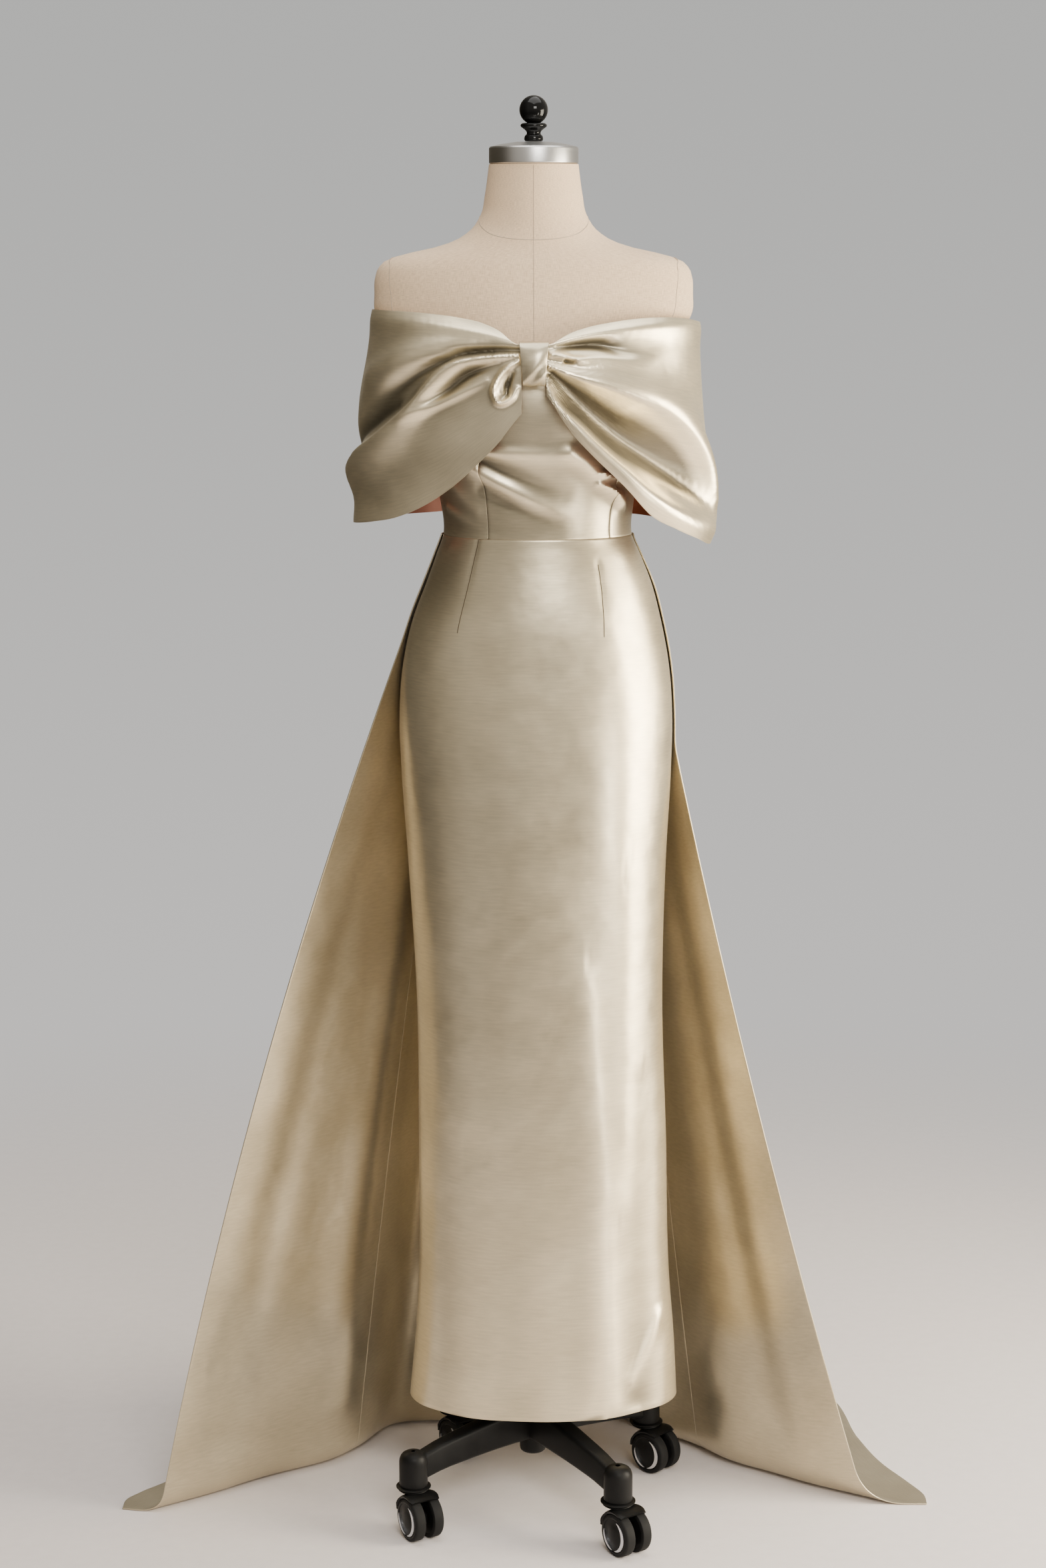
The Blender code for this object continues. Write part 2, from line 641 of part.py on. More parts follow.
def train_points(along, rows):
    """Points of the train's inside: rows 0 at the waist, 1 above the floor, 2 past the bend, 3 at the hem."""
    floor = smooth_table(TRAIN_FLOOR, along)
    foot, hem, bend = floor[..., 0:2], floor[..., 2:4], floor[..., 4:5]
    reach = sum(
        size * np.exp(-(((along - place) / width) ** 2)) for place, width, size in TRAIN_CONES
    )
    spread = hem - foot
    spread = spread / np.linalg.norm(spread, axis=-1, keepdims=True)
    foot = foot + spread * reach[..., None]
    angle = TRAIN_END + (TRAIN_START - TRAIN_END) * along
    bow = TRAIN_BOW_LEFT + (TRAIN_BOW_RIGHT - TRAIN_BOW_LEFT) * along
    top = WAIST_Z - TRAIN_EASE
    waist = around(GOWN, angle, top, TRAIN_EASE)[..., 0:2]

    def standing(z):
        fall = (top - z) / top
        blend = (fall + bow * fall * (1 - fall))[..., None]
        level = waist * (1 - blend) + foot * blend
        ease = TRAIN_EASE + (TRAIN_HIP_EASE - TRAIN_EASE) * ease_in((top - z) / TRAIN_HIP_DROP)
        reach = smooth_table(GOWN, np.clip(z, HEM_Z, top)) + ease[..., None]
        side = np.where(level[..., 0] > 0, reach[..., 1], reach[..., 0])
        depth = np.where(level[..., 1] < 0, reach[..., 2], reach[..., 3])
        part = np.hypot(level[..., 0] / side, level[..., 1] / depth)
        pushed = (part + 1 + np.sqrt((part - 1) ** 2 + TRAIN_HIP_SOFTNESS**2)) / 2
        return np.concatenate([level * (pushed / part)[..., None], z[..., None]], axis=-1)

    bend_z = bend[..., 0] * TRAIN_BEND_SHARE
    stand = standing(top + (bend_z - top) * np.clip(rows, 0.0, 1.0) ** TRAIN_CROWDING)
    turn = np.clip(rows - 1, 0.0, 1.0)[..., None]
    start = standing(bend_z + 0.0 * along)
    corner = standing(0.0 * along)
    level = np.concatenate([foot + spread * bend, 0.0 * bend], axis=-1)
    bent = start * (1 - turn) ** 2 + corner * 2 * turn * (1 - turn) + level * turn**2
    lying = np.clip(rows - 2, 0.0, 1.0)[..., None]
    end = np.concatenate([hem, 0.0 * bend], axis=-1)
    flat = level * (1 - lying) + end * lying
    chosen = np.where(rows[..., None] <= 1, stand, np.where(rows[..., None] <= 2, bent, flat))
    chosen[..., 2] = np.where(rows >= 2, 0.0, chosen[..., 2])
    return chosen


def train(satin):
    """Four gores, from the waist seam down to the floor and out over it."""
    rows = np.concatenate(
        [
            np.linspace(0.0, 1.0, TRAIN_ROWS_STANDING + 1)[:-1],
            np.linspace(1.0, 2.0, TRAIN_ROWS_BEND + 1)[:-1],
            np.linspace(2.0, 3.0, TRAIN_ROWS_LYING + 1),
        ]
    )[:, None]
    for name, start, end in TRAIN_GORES:
        along = np.linspace(start, end, TRAIN_COLUMNS + 1)[None, :] + 0.0 * rows
        grid = rows + 0.0 * along
        inner = train_points(along, grid)
        low, high = np.clip(along - SLOPE_STEP, 0.0, 1.0), np.clip(along + SLOPE_STEP, 0.0, 1.0)
        width = train_points(high, grid) - train_points(low, grid)
        before, after = np.clip(grid - SLOPE_STEP, 0.0, 3.0), np.clip(grid + SLOPE_STEP, 0.0, 3.0)
        drop = train_points(along, after) - train_points(along, before)
        out = np.cross(width, drop)
        out[..., 2] *= ease_in(rows / TRAIN_LEVEL_ROWS)
        out /= np.linalg.norm(out, axis=-1, keepdims=True)
        out = np.where(grid[..., None] >= 2, np.array([0.0, 0.0, 1.0]), out)
        off_seam = np.cross(drop, out)
        off_seam *= TRAIN_SEAM_GAP / 2 / np.linalg.norm(off_seam, axis=-1, keepdims=True)
        for column, direction in ((0, 1), (-1, -1)):
            if 0.0 < along[0, column] < 1.0:
                inner[:, column] += off_seam[:, column] * direction
        add_object(name, wall_mesh(name, inner + out * WALL, inner), satin)


def finial(black):
    """The turned knob on the neck cap."""
    turns = np.radians(np.linspace(FINIAL_BALL_START, 90.0, FINIAL_BALL_STEPS + 1))
    ball = [
        (FINIAL_BALL_RADIUS * math.cos(turn), FINIAL_BALL_Z + FINIAL_BALL_RADIUS * math.sin(turn))
        for turn in turns
    ]
    ball[-1] = (0.0, ball[-1][1])
    add_object("finial", turned_mesh("finial", FINIAL_PROFILE + tuple(ball), TURNED_SIDES), black)


def arm_mesh(turn):
    """One arm of the base, lofted from its stations along its length, with its long edges bevelled."""
    work = bmesh.new()
    rings = []
    for along, half, bottom, top in ARM_STATIONS:
        corners = ((-half, bottom), (half, bottom), (half, top), (-half, top))
        rings.append([work.verts.new((along, y, z)) for y, z in corners])
    for low, high in zip(rings, rings[1:]):
        for j in range(4):
            k = (j + 1) % 4
            work.faces.new((low[j], low[k], high[k], high[j]))
    work.faces.new(rings[0])
    work.faces.new(rings[-1])
    long_edges = [edge for edge in work.edges if abs(edge.verts[0].co.x - edge.verts[1].co.x) > 0.01]
    bmesh.ops.bevel(
        work,
        geom=long_edges,
        offset=ARM_BEVEL,
        segments=1,
        profile=0.5,
        affect="EDGES",
        material=-1,
    )
    bmesh.ops.rotate(work, verts=work.verts, matrix=Matrix.Rotation(math.radians(turn), 3, "Z"))
    return mesh_of("arm", work)


def moved(mesh, place):
    """The mesh, moved by a vector."""
    mesh.transform(Matrix.Translation(place))
    return mesh


def cylinder_profile(radius, low, high):
    """The turned profile of a plain cylinder."""
    return ((0.0, low), (radius, low), (radius, high), (0.0, high))


def arm_end(turn):
    """Where an arm's caster turns, seen from above."""
    return Vector((ARM_REACH * math.cos(math.radians(turn)), ARM_REACH * math.sin(math.radians(turn)), 0.0))


def stand_base(black):
    """The cast base: a hub and four arms, each ending in a domed socket that a caster's stem turns in."""
    hub = (
        (0.0, HUB_BOTTOM_Z),
        (HUB_RADIUS - HUB_ROUNDING, HUB_BOTTOM_Z),
        (HUB_RADIUS, HUB_BOTTOM_Z + HUB_ROUNDING),
        (HUB_RADIUS, HUB_TOP_Z),
        (0.0, HUB_TOP_Z),
    )
    bore = cylinder_profile(BORE_RADIUS, 0.0, BORE_TOP_Z)
    meshes = [turned_mesh("hub", hub, TURNED_SIDES)]
    for _, turn, _ in CASTERS:
        meshes.append(arm_mesh(turn))
        meshes.append(moved(turned_mesh("socket", SOCKET_PROFILE, TURNED_SIDES), arm_end(turn)))
    base = union("stand_base", meshes)
    for _, turn, _ in CASTERS:
        base = union("stand_base", [base], moved(turned_mesh("bore", bore, BORE_SIDES), arm_end(turn)))
    add_object("stand_base", base, black)


def hood_mesh():
    """A caster's swivelling part: the stem and collar, the cover over both wheels and the axle's web.

    Its own origin is on the stem's axis at the floor, and it trails towards +X."""
    centre = Vector((TRAIL, 0.0, AXLE_Z))
    work = bmesh.new()
    root = BOSS_RADIUS - WEB_OVERLAP
    section = (
        (root, -WEB_HALF_WIDTH),
        (HOOD_INNER, -WEB_HALF_WIDTH),
        (HOOD_INNER, -HOOD_HALF_WIDTH),
        (HOOD_OUTER, -HOOD_HALF_WIDTH),
        (HOOD_OUTER, HOOD_HALF_WIDTH),
        (HOOD_INNER, HOOD_HALF_WIDTH),
        (HOOD_INNER, WEB_HALF_WIDTH),
        (root, WEB_HALF_WIDTH),
    )
    points = [work.verts.new((radius, y, 0.0)) for radius, y in section]
    edges = [work.edges.new(pair) for pair in zip(points, points[1:] + points[:1])]
    bmesh.ops.rotate(work, verts=work.verts, matrix=Matrix.Rotation(math.radians(-HOOD_START), 3, "Y"))
    bmesh.ops.spin(
        work,
        geom=points + edges,
        cent=(0, 0, 0),
        axis=(0, -1, 0),
        angle=math.radians(HOOD_END - HOOD_START),
        steps=HOOD_STEPS,
    )
    bmesh.ops.holes_fill(work, edges=work.edges)
    cover = moved(mesh_of("cover", work), centre)
    boss = cylinder_profile(BOSS_RADIUS, -WEB_HALF_WIDTH, WEB_HALF_WIDTH)
    bore = cylinder_profile(BOSS_BORE, -AXLE_END, AXLE_END)
    collar_top = COLLAR_PROFILE[-1][1]
    stem = COLLAR_PROFILE + ((STEM_RADIUS, collar_top), (STEM_RADIUS, STEM_TOP_Z), (0.0, STEM_TOP_Z))
    return union(
        "caster_hood",
        [
            cover,
            moved(turned_mesh("boss", boss, BORE_SIDES, axis=(0, 1, 0)), centre),
            turned_mesh("stem", stem, TURNED_SIDES),
        ],
        moved(turned_mesh("bore", bore, BORE_SIDES, axis=(0, 1, 0)), centre),
    )


def casters(black, rubber):
    """Four casters, each a swivelling hood and a pair of wheels on one axle."""
    hood = hood_mesh()
    mirrored = tuple((radius, -y) for radius, y in WHEEL_PROFILE[:0:-1])
    wheels = turned_mesh(
        "caster_wheels",
        mirrored + WHEEL_PROFILE[1:],
        WHEEL_SIDES,
        axis=(0, 1, 0),
        turn=math.pi / WHEEL_SIDES,
    )
    for name, arm, trail in CASTERS:
        swivel = add_object(f"caster_hood_{name}", hood, black)
        swivel.location = arm_end(arm)
        swivel.rotation_euler = (0.0, 0.0, math.radians(trail))
        pair = add_object(f"caster_wheels_{name}", wheels, rubber)
        pair.parent = swivel
        pair.location = (TRAIL, 0.0, AXLE_Z)


def box_mesh(name, size, place, bevel):
    """A bevelled box with its centre at a place."""
    work = bmesh.new()
    bmesh.ops.create_cube(work, size=1.0)
    bmesh.ops.scale(work, vec=size, verts=work.verts)
    bmesh.ops.bevel(
        work,
        geom=work.edges[:],
        offset=bevel,
        segments=1,
        profile=0.5,
        affect="EDGES",
        material=-1,
    )
    bmesh.ops.translate(work, vec=place, verts=work.verts)
    return mesh_of(name, work)


def back_zip(metal):
    """The zip's slider at the top of the centre-back seam, and its tab, whose origin is on its hinge."""
    face = float(around(GOWN, np.array(180.0), np.array(ZIP_Z))[1])
    middle = face + ZIP_GAP + SLIDER_DEPTH / 2
    size = (SLIDER_WIDTH, SLIDER_DEPTH, SLIDER_HEIGHT)
    add_object("zip_slider", box_mesh("zip_slider", size, (0.0, middle, ZIP_Z), SLIDER_BEVEL), metal)
    size = (TAB_WIDTH, TAB_THICKNESS, TAB_LENGTH)
    place = (0.0, 0.0, TAB_ABOVE_HINGE - TAB_LENGTH / 2)
    tab = add_object("zip_tab", box_mesh("zip_tab", size, place, TAB_BEVEL), metal)
    tab.location = (0.0, middle + (SLIDER_DEPTH + TAB_THICKNESS) / 2 + TAB_GAP, ZIP_Z)


def stand_on_centre():
    """Moves every piece together, so that the origin is at the bottom centre of the whole."""
    bpy.context.view_layer.update()
    pieces = [item for item in bpy.context.scene.objects if item.type == "MESH"]
    corners = np.array([item.matrix_world @ vertex.co for item in pieces for vertex in item.data.vertices])
    centre = (corners.min(axis=0) + corners.max(axis=0)) / 2
    whole = bpy.data.objects.new("gown_on_form", None)
    bpy.context.collection.objects.link(whole)
    whole.location = (-centre[0], -centre[1], 0.0)
    for item in pieces:
        if item.parent is None:
            item.parent = whole


def main():
    """Builds every piece."""
    for item in list(bpy.data.objects):
        bpy.data.objects.remove(item)
    satin = material("champagne_satin", (0.60, 0.52, 0.38), 0.35, 0.45)
    linen = material("beige_linen", (0.66, 0.55, 0.45), 0.85)
    silver = material("brushed_silver", (0.62, 0.62, 0.63), 0.30, 1.0)
    gloss = material("gloss_black", (0.012, 0.012, 0.013), 0.18)
    cast = material("cast_black", (0.016, 0.016, 0.017), 0.45)
    moulded = material("moulded_black", (0.018, 0.018, 0.019), 0.50)
    rubber = material("black_rubber", (0.020, 0.020, 0.021), 0.60)
    form_torso(linen)
    add_object("neck_cap", turned_mesh("neck_cap", CAP_PROFILE, CAP_SIDES), silver)
    finial(gloss)
    pole = cylinder_profile(POLE_RADIUS, HUB_TOP_Z + SEAM_GAP, FORM_BOTTOM_Z - SEAM_GAP)
    add_object("stand_pole", turned_mesh("stand_pole", pole, TURNED_SIDES), silver)
    stand_base(cast)
    casters(moulded, rubber)
    bodice(satin)
    skirt(satin)
    train(satin)
    cape_half("cape_left", -1, satin)
    cape_half("cape_right", 1, satin)
    knot(satin)
    back_zip(silver)
    stand_on_centre()


main()
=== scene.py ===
"""A champagne satin column gown with a bow capelet and a train, on its linen dress form and wheeled stand.

Metres, +Z up, the front towards -Y. Shapes are worked out round the stand's pole and then moved to where
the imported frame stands. Angles round the figure start at the front centre: 90 degrees is the right side as
seen from the front, 180 the centre back and 270 the left side."""

from __future__ import annotations

import logging
import math
from dataclasses import dataclass
from enum import Enum
from functools import partial
from typing import Callable, Iterable, Sequence

import bmesh
import bpy
import numpy as np
from mathutils import Matrix, Vector

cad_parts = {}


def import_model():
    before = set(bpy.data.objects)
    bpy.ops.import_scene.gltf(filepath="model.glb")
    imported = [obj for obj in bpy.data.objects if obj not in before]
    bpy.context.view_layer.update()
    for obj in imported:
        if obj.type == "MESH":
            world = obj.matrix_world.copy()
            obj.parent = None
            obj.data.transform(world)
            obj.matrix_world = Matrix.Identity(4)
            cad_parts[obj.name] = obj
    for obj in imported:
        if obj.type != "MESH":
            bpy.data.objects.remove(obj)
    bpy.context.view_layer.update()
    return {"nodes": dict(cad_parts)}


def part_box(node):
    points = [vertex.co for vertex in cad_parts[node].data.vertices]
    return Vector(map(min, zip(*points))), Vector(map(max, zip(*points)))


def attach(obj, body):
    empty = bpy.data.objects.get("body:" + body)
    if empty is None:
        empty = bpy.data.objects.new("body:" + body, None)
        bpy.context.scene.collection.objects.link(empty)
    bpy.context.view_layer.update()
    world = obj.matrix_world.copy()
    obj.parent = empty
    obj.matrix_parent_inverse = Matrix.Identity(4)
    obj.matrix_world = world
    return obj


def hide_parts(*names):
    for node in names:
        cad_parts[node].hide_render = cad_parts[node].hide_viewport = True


LOG = logging.getLogger("gown")
Array = np.ndarray
Rows = Sequence[Sequence[float]]
Surface = Callable[[Array, Array], Array]
Pair = tuple[float, float]
Triple = tuple[float, float, float]
Colour = Triple
Material = bpy.types.Material
Mesh = bmesh.types.BMesh
Socket = bpy.types.NodeSocket

ROOT = "gown_form_and_stand"
WALL = 0.0016  # the satin's thickness
SEAM_GAP = 0.00008  # between two panels
WAIST_RADIUS = 0.085  # the least one, where the gap is narrowest
WAIST_Z = 1.227
HEM_Z = 0.143
LEVEL = np.array([1.0, 1.0, 0.0])  # keeps the level part of a vector
AXLE: Triple = (0.0, 1.0, 0.0)


class Slot(Enum):
    """The record's material slots."""

    SATIN = "champagne_satin"
    LINEN = "beige_linen"
    SILVER = "brushed_silver"
    GLOSS = "gloss_black"
    CAST = "cast_black"
    MOULDED = "moulded_black"
    RUBBER = "black_rubber"


class Held(Enum):
    """How a piece of cloth is held."""

    DRAPED = "draped"
    HUNG = "hung"
    GATHERED = "gathered"
    FOLDED = "folded"
    STRETCHED = "stretched"


GOWN: Rows = (
    # z, left, right, front, back
    (0.143, 0.155, 0.181, 0.104, 0.1), (0.218, 0.148, 0.177, 0.101, 0.098), (0.306, 0.143, 0.17, 0.099, 0.097),
    (0.48, 0.142, 0.165, 0.098, 0.098), (0.651, 0.143, 0.159, 0.099, 0.104), (0.835, 0.153, 0.162, 0.104, 0.12),
    (0.94, 0.16, 0.167, 0.106, 0.13), (1.008, 0.162, 0.168, 0.106, 0.133), (1.065, 0.158, 0.164, 0.103, 0.128),
    (1.125, 0.145, 0.153, 0.098, 0.114), (1.17, 0.128, 0.141, 0.092, 0.1), (1.203, 0.116, 0.128, 0.087, 0.09),
    (1.227, 0.108, 0.118, 0.084, 0.085), (1.26, 0.11, 0.119, 0.088, 0.086), (1.3, 0.121, 0.127, 0.099, 0.091),
    (1.34, 0.134, 0.138, 0.112, 0.098), (1.38, 0.145, 0.148, 0.12, 0.104), (1.42, 0.154, 0.156, 0.118, 0.107),
    (1.45, 0.162, 0.163, 0.112, 0.107),
)
FORM_ABOVE: Rows = (
    # z, left, right, front, back
    (1.428, 0.1505, 0.1505, 0.1115, 0.102), (1.45, 0.1565, 0.1565, 0.106, 0.1015),
    (1.47, 0.177, 0.177, 0.101, 0.1015), (1.49, 0.1876, 0.1876, 0.095, 0.1), (1.51, 0.188, 0.188, 0.089, 0.097),
    (1.53, 0.1868, 0.1868, 0.082, 0.091), (1.543, 0.181, 0.181, 0.077, 0.084), (1.551, 0.17, 0.17, 0.073, 0.078),
    (1.558, 0.145, 0.145, 0.069, 0.072), (1.565, 0.113, 0.113, 0.066, 0.067), (1.573, 0.091, 0.091, 0.063, 0.063),
    (1.582, 0.077, 0.077, 0.06, 0.06), (1.6, 0.0632, 0.0632, 0.0565, 0.057),
    (1.626, 0.0572, 0.0572, 0.053, 0.054), (1.66, 0.0525, 0.0525, 0.0505, 0.0515),
)
CAPE: Rows = (
    # z, left, right, front, back
    (1.215, 0.214, 0.212, 0.128, 0.16), (1.245, 0.215, 0.219, 0.13, 0.156), (1.274, 0.21, 0.217, 0.133, 0.15),
    (1.314, 0.207, 0.211, 0.135, 0.144), (1.346, 0.209, 0.205, 0.137, 0.139), (1.385, 0.207, 0.201, 0.138, 0.133),
    (1.448, 0.196, 0.197, 0.136, 0.121), (1.47, 0.193, 0.196, 0.127, 0.116),
    (1.493, 0.1901, 0.1945, 0.112, 0.111),
)


def smooth_table(rows: Rows, at: Array) -> Array:
    """Reads a table's columns on a smooth curve through its rows.

    Args:
        rows: the table, whose first column rises from row to row.
        at: places along the first column.

    Returns:
        The other columns at those places, in a last axis.
    """
    table = np.array(rows, float)
    key, values = table[:, 0], table[:, 1:]
    slopes = np.gradient(values, key, axis=0)
    at = np.clip(np.asarray(at, float), key[0], key[-1])
    low = np.clip(np.searchsorted(key, at, side="right") - 1, 0, len(key) - 2)
    span = (key[low + 1] - key[low])[..., None]
    t = (at - key[low])[..., None] / span
    start, end = values[low], values[low + 1]
    return (
        start * (1 + 2 * t) * (1 - t) ** 2
        + slopes[low] * span * t * (1 - t) ** 2
        + end * t * t * (3 - 2 * t)
        - slopes[low + 1] * span * t * t * (1 - t)
    )


def ease_in(value: Array) -> Array:
    """A smooth step from 0 to 1."""
    value = np.clip(value, 0.0, 1.0)
    return value * value * (3 - 2 * value)


def unit(vectors: Array) -> Array:
    """The same directions at a length of 1."""
    return vectors / np.linalg.norm(vectors, axis=-1, keepdims=True)


def around(sections: Rows, angle: Array, z: Array, out: Array | float = 0.0) -> Array:
    """Finds points round a table of sections.

    Args:
        sections: the table of z, left, right, front and back.
        angle: degrees round the figure.
        z: heights.
        out: level distances outwards.

    Returns:
        The points, in a last axis.
    """
    reach = smooth_table(sections, z)
    turn = np.radians(angle)
    across, along = np.sin(turn), -np.cos(turn)
    side = np.where(across > 0, reach[..., 1], reach[..., 0]) + out
    depth = np.where(along < 0, reach[..., 2], reach[..., 3]) + out
    return np.stack([side * across, depth * along, np.broadcast_to(z, side.shape)], axis=-1)


def fold_along(path: Rows, angle: Array, z: Array, radius: float = 0.17) -> Array:
    """Finds the height of a fold that follows a path.

    Args:
        path: angle, z, height, width outwards or above and width inwards or below, point by point.
        angle: degrees round the figure.
        z: heights.
        radius: the radius at which angles are measured.

    Returns:
        How far the cloth stands out at each place.
    """
    points = np.array(path, float)
    points[:, 0] = np.radians(points[:, 0]) * radius
    steps = np.hypot(*np.diff(points[:, 0:2], axis=0).T)
    run = np.concatenate([[0.0], np.cumsum(steps)])
    line = smooth_table(np.column_stack([run, points]), np.linspace(0.0, run[-1], 90))
    tangent = unit(np.gradient(line[:, 0:2], axis=0))
    place = np.stack([np.radians(angle) * radius, z + 0.0 * angle], axis=-1)
    apart = place[..., None, :] - line[:, 0:2]
    near = np.argmin((apart**2).sum(axis=-1), axis=-1)
    offset = np.take_along_axis(apart, near[..., None, None], axis=-2)[..., 0, :]
    side = tangent[near, 0] * offset[..., 1] - tangent[near, 1] * offset[..., 0]
    width = np.where(side > 0, line[near, 3], line[near, 4])
    distance = (offset**2).sum(axis=-1) / width**2
    return line[near, 2] * np.exp(-distance)


def panel_angles(start: float, end: float, across: Array) -> tuple[Array, Array]:
    """Finds the angles across a panel, half a seam's gap inside its seams.

    Args:
        start: the first seam, in degrees.
        end: the last seam.
        across: places from 0 to 1.

    Returns:
        The angles as they run on from the first seam, and the same angles from -180 to 180.
    """
    trim = math.degrees(SEAM_GAP / 2 / WAIST_RADIUS)
    angle = start + trim + (end - start - 2 * trim) * across
    return angle, (angle + 180) % 360 - 180


def seam_dip(away: Array, depth: Array | float, width: float) -> Array:
    """How far cloth sinks at a distance from a line of sewing with that depth and width."""
    return depth * np.exp(-((away / width) ** 2))


def polar(turn: float, reach: float) -> Vector:
    """A level vector at a turn in degrees from +X."""
    return Vector((math.cos(math.radians(turn)), math.sin(math.radians(turn)), 0.0)) * reach


def about_y(turn: Array, out: Array, y: Array | float) -> Array:
    """Points about the Y axis, at turns in radians."""
    return np.stack([np.cos(turn) * out, np.broadcast_to(y, out.shape), np.sin(turn) * out], axis=-1)


def middle_y(work: Mesh) -> float:
    """The mean y of a mesh's corners."""
    return sum(vertex.co.y for vertex in work.verts) / len(work.verts)


def as_object(name: str, work: Mesh, finish: Material) -> bpy.types.Object:
    """Ends a mesh as an object of the scene.

    Args:
        name: the object's name.
        work: its mesh, which is freed.
        finish: its material.

    Returns:
        The object.
    """
    mesh = bpy.data.meshes.new(name)
    work.to_mesh(mesh)
    work.free()
    mesh.materials.append(finish)
    made = bpy.data.objects.new(name, mesh)
    bpy.context.collection.objects.link(made)
    return made


@dataclass(frozen=True)
class FoldField:
    """Soft ridges and troughs on cloth, a row for each.

    A row holds angle, z, end angle, end z, bow, height, end height, width above and width below, and may
    end with the widths at its far end."""

    rows: Rows
    radius: float

    def height(self, angle: Array, z: Array) -> Array:
        """Adds up the folds.

        Args:
            angle: degrees round the figure.
            z: heights.

        Returns:
            How far the cloth stands out at each place.
        """
        total = np.zeros(np.broadcast(angle, z).shape)
        for start_angle, start_z, end_angle, end_z, bow, height, end_height, *widths in self.rows:
            above, below, end_above, end_below = widths if len(widths) == 4 else widths * 2
            start = np.array([math.radians(start_angle) * self.radius, start_z])
            chord = np.array([math.radians(end_angle) * self.radius, end_z]) - start
            length = float(np.linalg.norm(chord))
            chord = chord / length
            across = np.radians(angle) * self.radius - start[0]
            up = z - start[1]
            along = (across * chord[0] + up * chord[1]) / length
            side = abs(chord[0]) * up - math.copysign(1.0, chord[0]) * across * chord[1]
            held = np.clip(along, 0.0, 1.0)
            side = side - bow * 4 * held * (1 - held)
            upper = above + (end_above - above) * held
            lower = below + (end_below - below) * held
            width = np.where(side > 0, upper, lower)
            beyond = np.maximum(np.maximum(-along, along - 1), 0.0) * length
            distance = np.sqrt((side / width) ** 2 + (beyond / width) ** 2)
            total += (height + (end_height - height) * held) * np.exp(-distance * distance)
        return total


class NodeTree:
    """The node tree of a material or world, with short ways to add and join nodes."""

    def __init__(self, owner: Material | bpy.types.World) -> None:
        """Opens the owner's tree."""
        owner.use_nodes = True
        self.owner = owner
        self.tree = owner.node_tree

    def add(self, kind: str, inputs: dict[str | int, object] | None = None, **settings: object) -> bpy.types.Node:
        """Adds a node.

        Args:
            kind: the node's type, without its ShaderNode prefix.
            inputs: values for its sockets, or the output that feeds each.
            settings: its own properties.

        Returns:
            The node.
        """
        node = self.tree.nodes.new("ShaderNode" + kind)
        for key, value in settings.items():
            setattr(node, key, value)
        for key, value in (inputs or {}).items():
            self.set(node, key, value)
        return node

    def set(self, node: bpy.types.Node, socket: str | int, value: object) -> None:
        """Sets a socket.

        Args:
            node: the node.
            socket: the socket's name or number.
            value: its value, or the output that feeds it.
        """
        if isinstance(value, Socket):
            self.tree.links.new(value, node.inputs[socket])
        else:
            node.inputs[socket].default_value = value

    def coordinates(self, kind: str = "Object", scale: Triple = (1.0, 1.0, 1.0)) -> Socket:
        """Object or UV coordinates, stretched by a scale."""
        source = self.add("TexCoord")
        return self.add("Mapping", {"Vector": source.outputs[kind], "Scale": scale}).outputs["Vector"]

    def noise(self, where: Socket, scale: float, detail: float) -> Socket:
        """Noise from 0 to 1 at the coordinates."""
        return self.add("TexNoise", {"Vector": where, "Scale": scale, "Detail": detail}).outputs["Fac"]

    def reckon(self, operation: str, first: Socket, second: Socket | float) -> Socket:
        """The result of a Math node's operation on two values."""
        return self.add("Math", {0: first, 1: second}, operation=operation).outputs[0]

    def bump(self, height: Socket, distance: float, under: Socket | None = None) -> Socket:
        """Bends the normal.

        Args:
            height: the relief, from 0 to 1.
            distance: how high 1 stands.
            under: a normal that is already bent.

        Returns:
            The normal.
        """
        made = self.add("Bump", {"Height": height, "Distance": distance, "Strength": 1.0})
        if under is not None:
            self.set(made, "Normal", under)
        return made.outputs["Normal"]

    def blend(self, factor: Socket, low: Colour | Socket, high: Colour | Socket) -> Socket:
        """Mixes two colours.

        Args:
            factor: how much of the second there is.
            low: the first colour.
            high: the second colour.

        Returns:
            The colour.
        """
        made = self.add("Mix", {"Factor": factor}, data_type="RGBA")
        for index, value in ((6, low), (7, high)):
            self.set(made, index, value if isinstance(value, Socket) else (*value, 1.0))
        return made.outputs[2]

    def remap(
        self, value: Socket, start: float, end: float, low: float, high: float, smooth: bool = False
    ) -> Socket:
        """Maps one range on to another.

        Args:
            value: what is mapped.
            start: the value that gives low.
            end: the value that gives high.
            low: the least result.
            high: the greatest result.
            smooth: whether it eases in and out.

        Returns:
            The result.
        """
        inputs = {"Value": value, "From Min": start, "From Max": end, "To Min": low, "To Max": high}
        step = "SMOOTHSTEP" if smooth else "LINEAR"
        return self.add("MapRange", inputs, interpolation_type=step).outputs["Result"]

    def spread(self, value: Socket, low: float, high: float) -> Socket:
        """Maps 0.3 to 0.7, where noise mostly lies, on to low to high."""
        return self.remap(value, 0.3, 0.7, low, high)

    def principled(self, **values: object) -> Material:
        """Dresses the Principled shader.

        Args:
            values: values or outputs for its sockets, with _ for the spaces in their names.

        Returns:
            The material.
        """
        for key, value in values.items():
            self.set(self.tree.nodes["Principled BSDF"], key.replace("_", " "), value)
        return self.owner


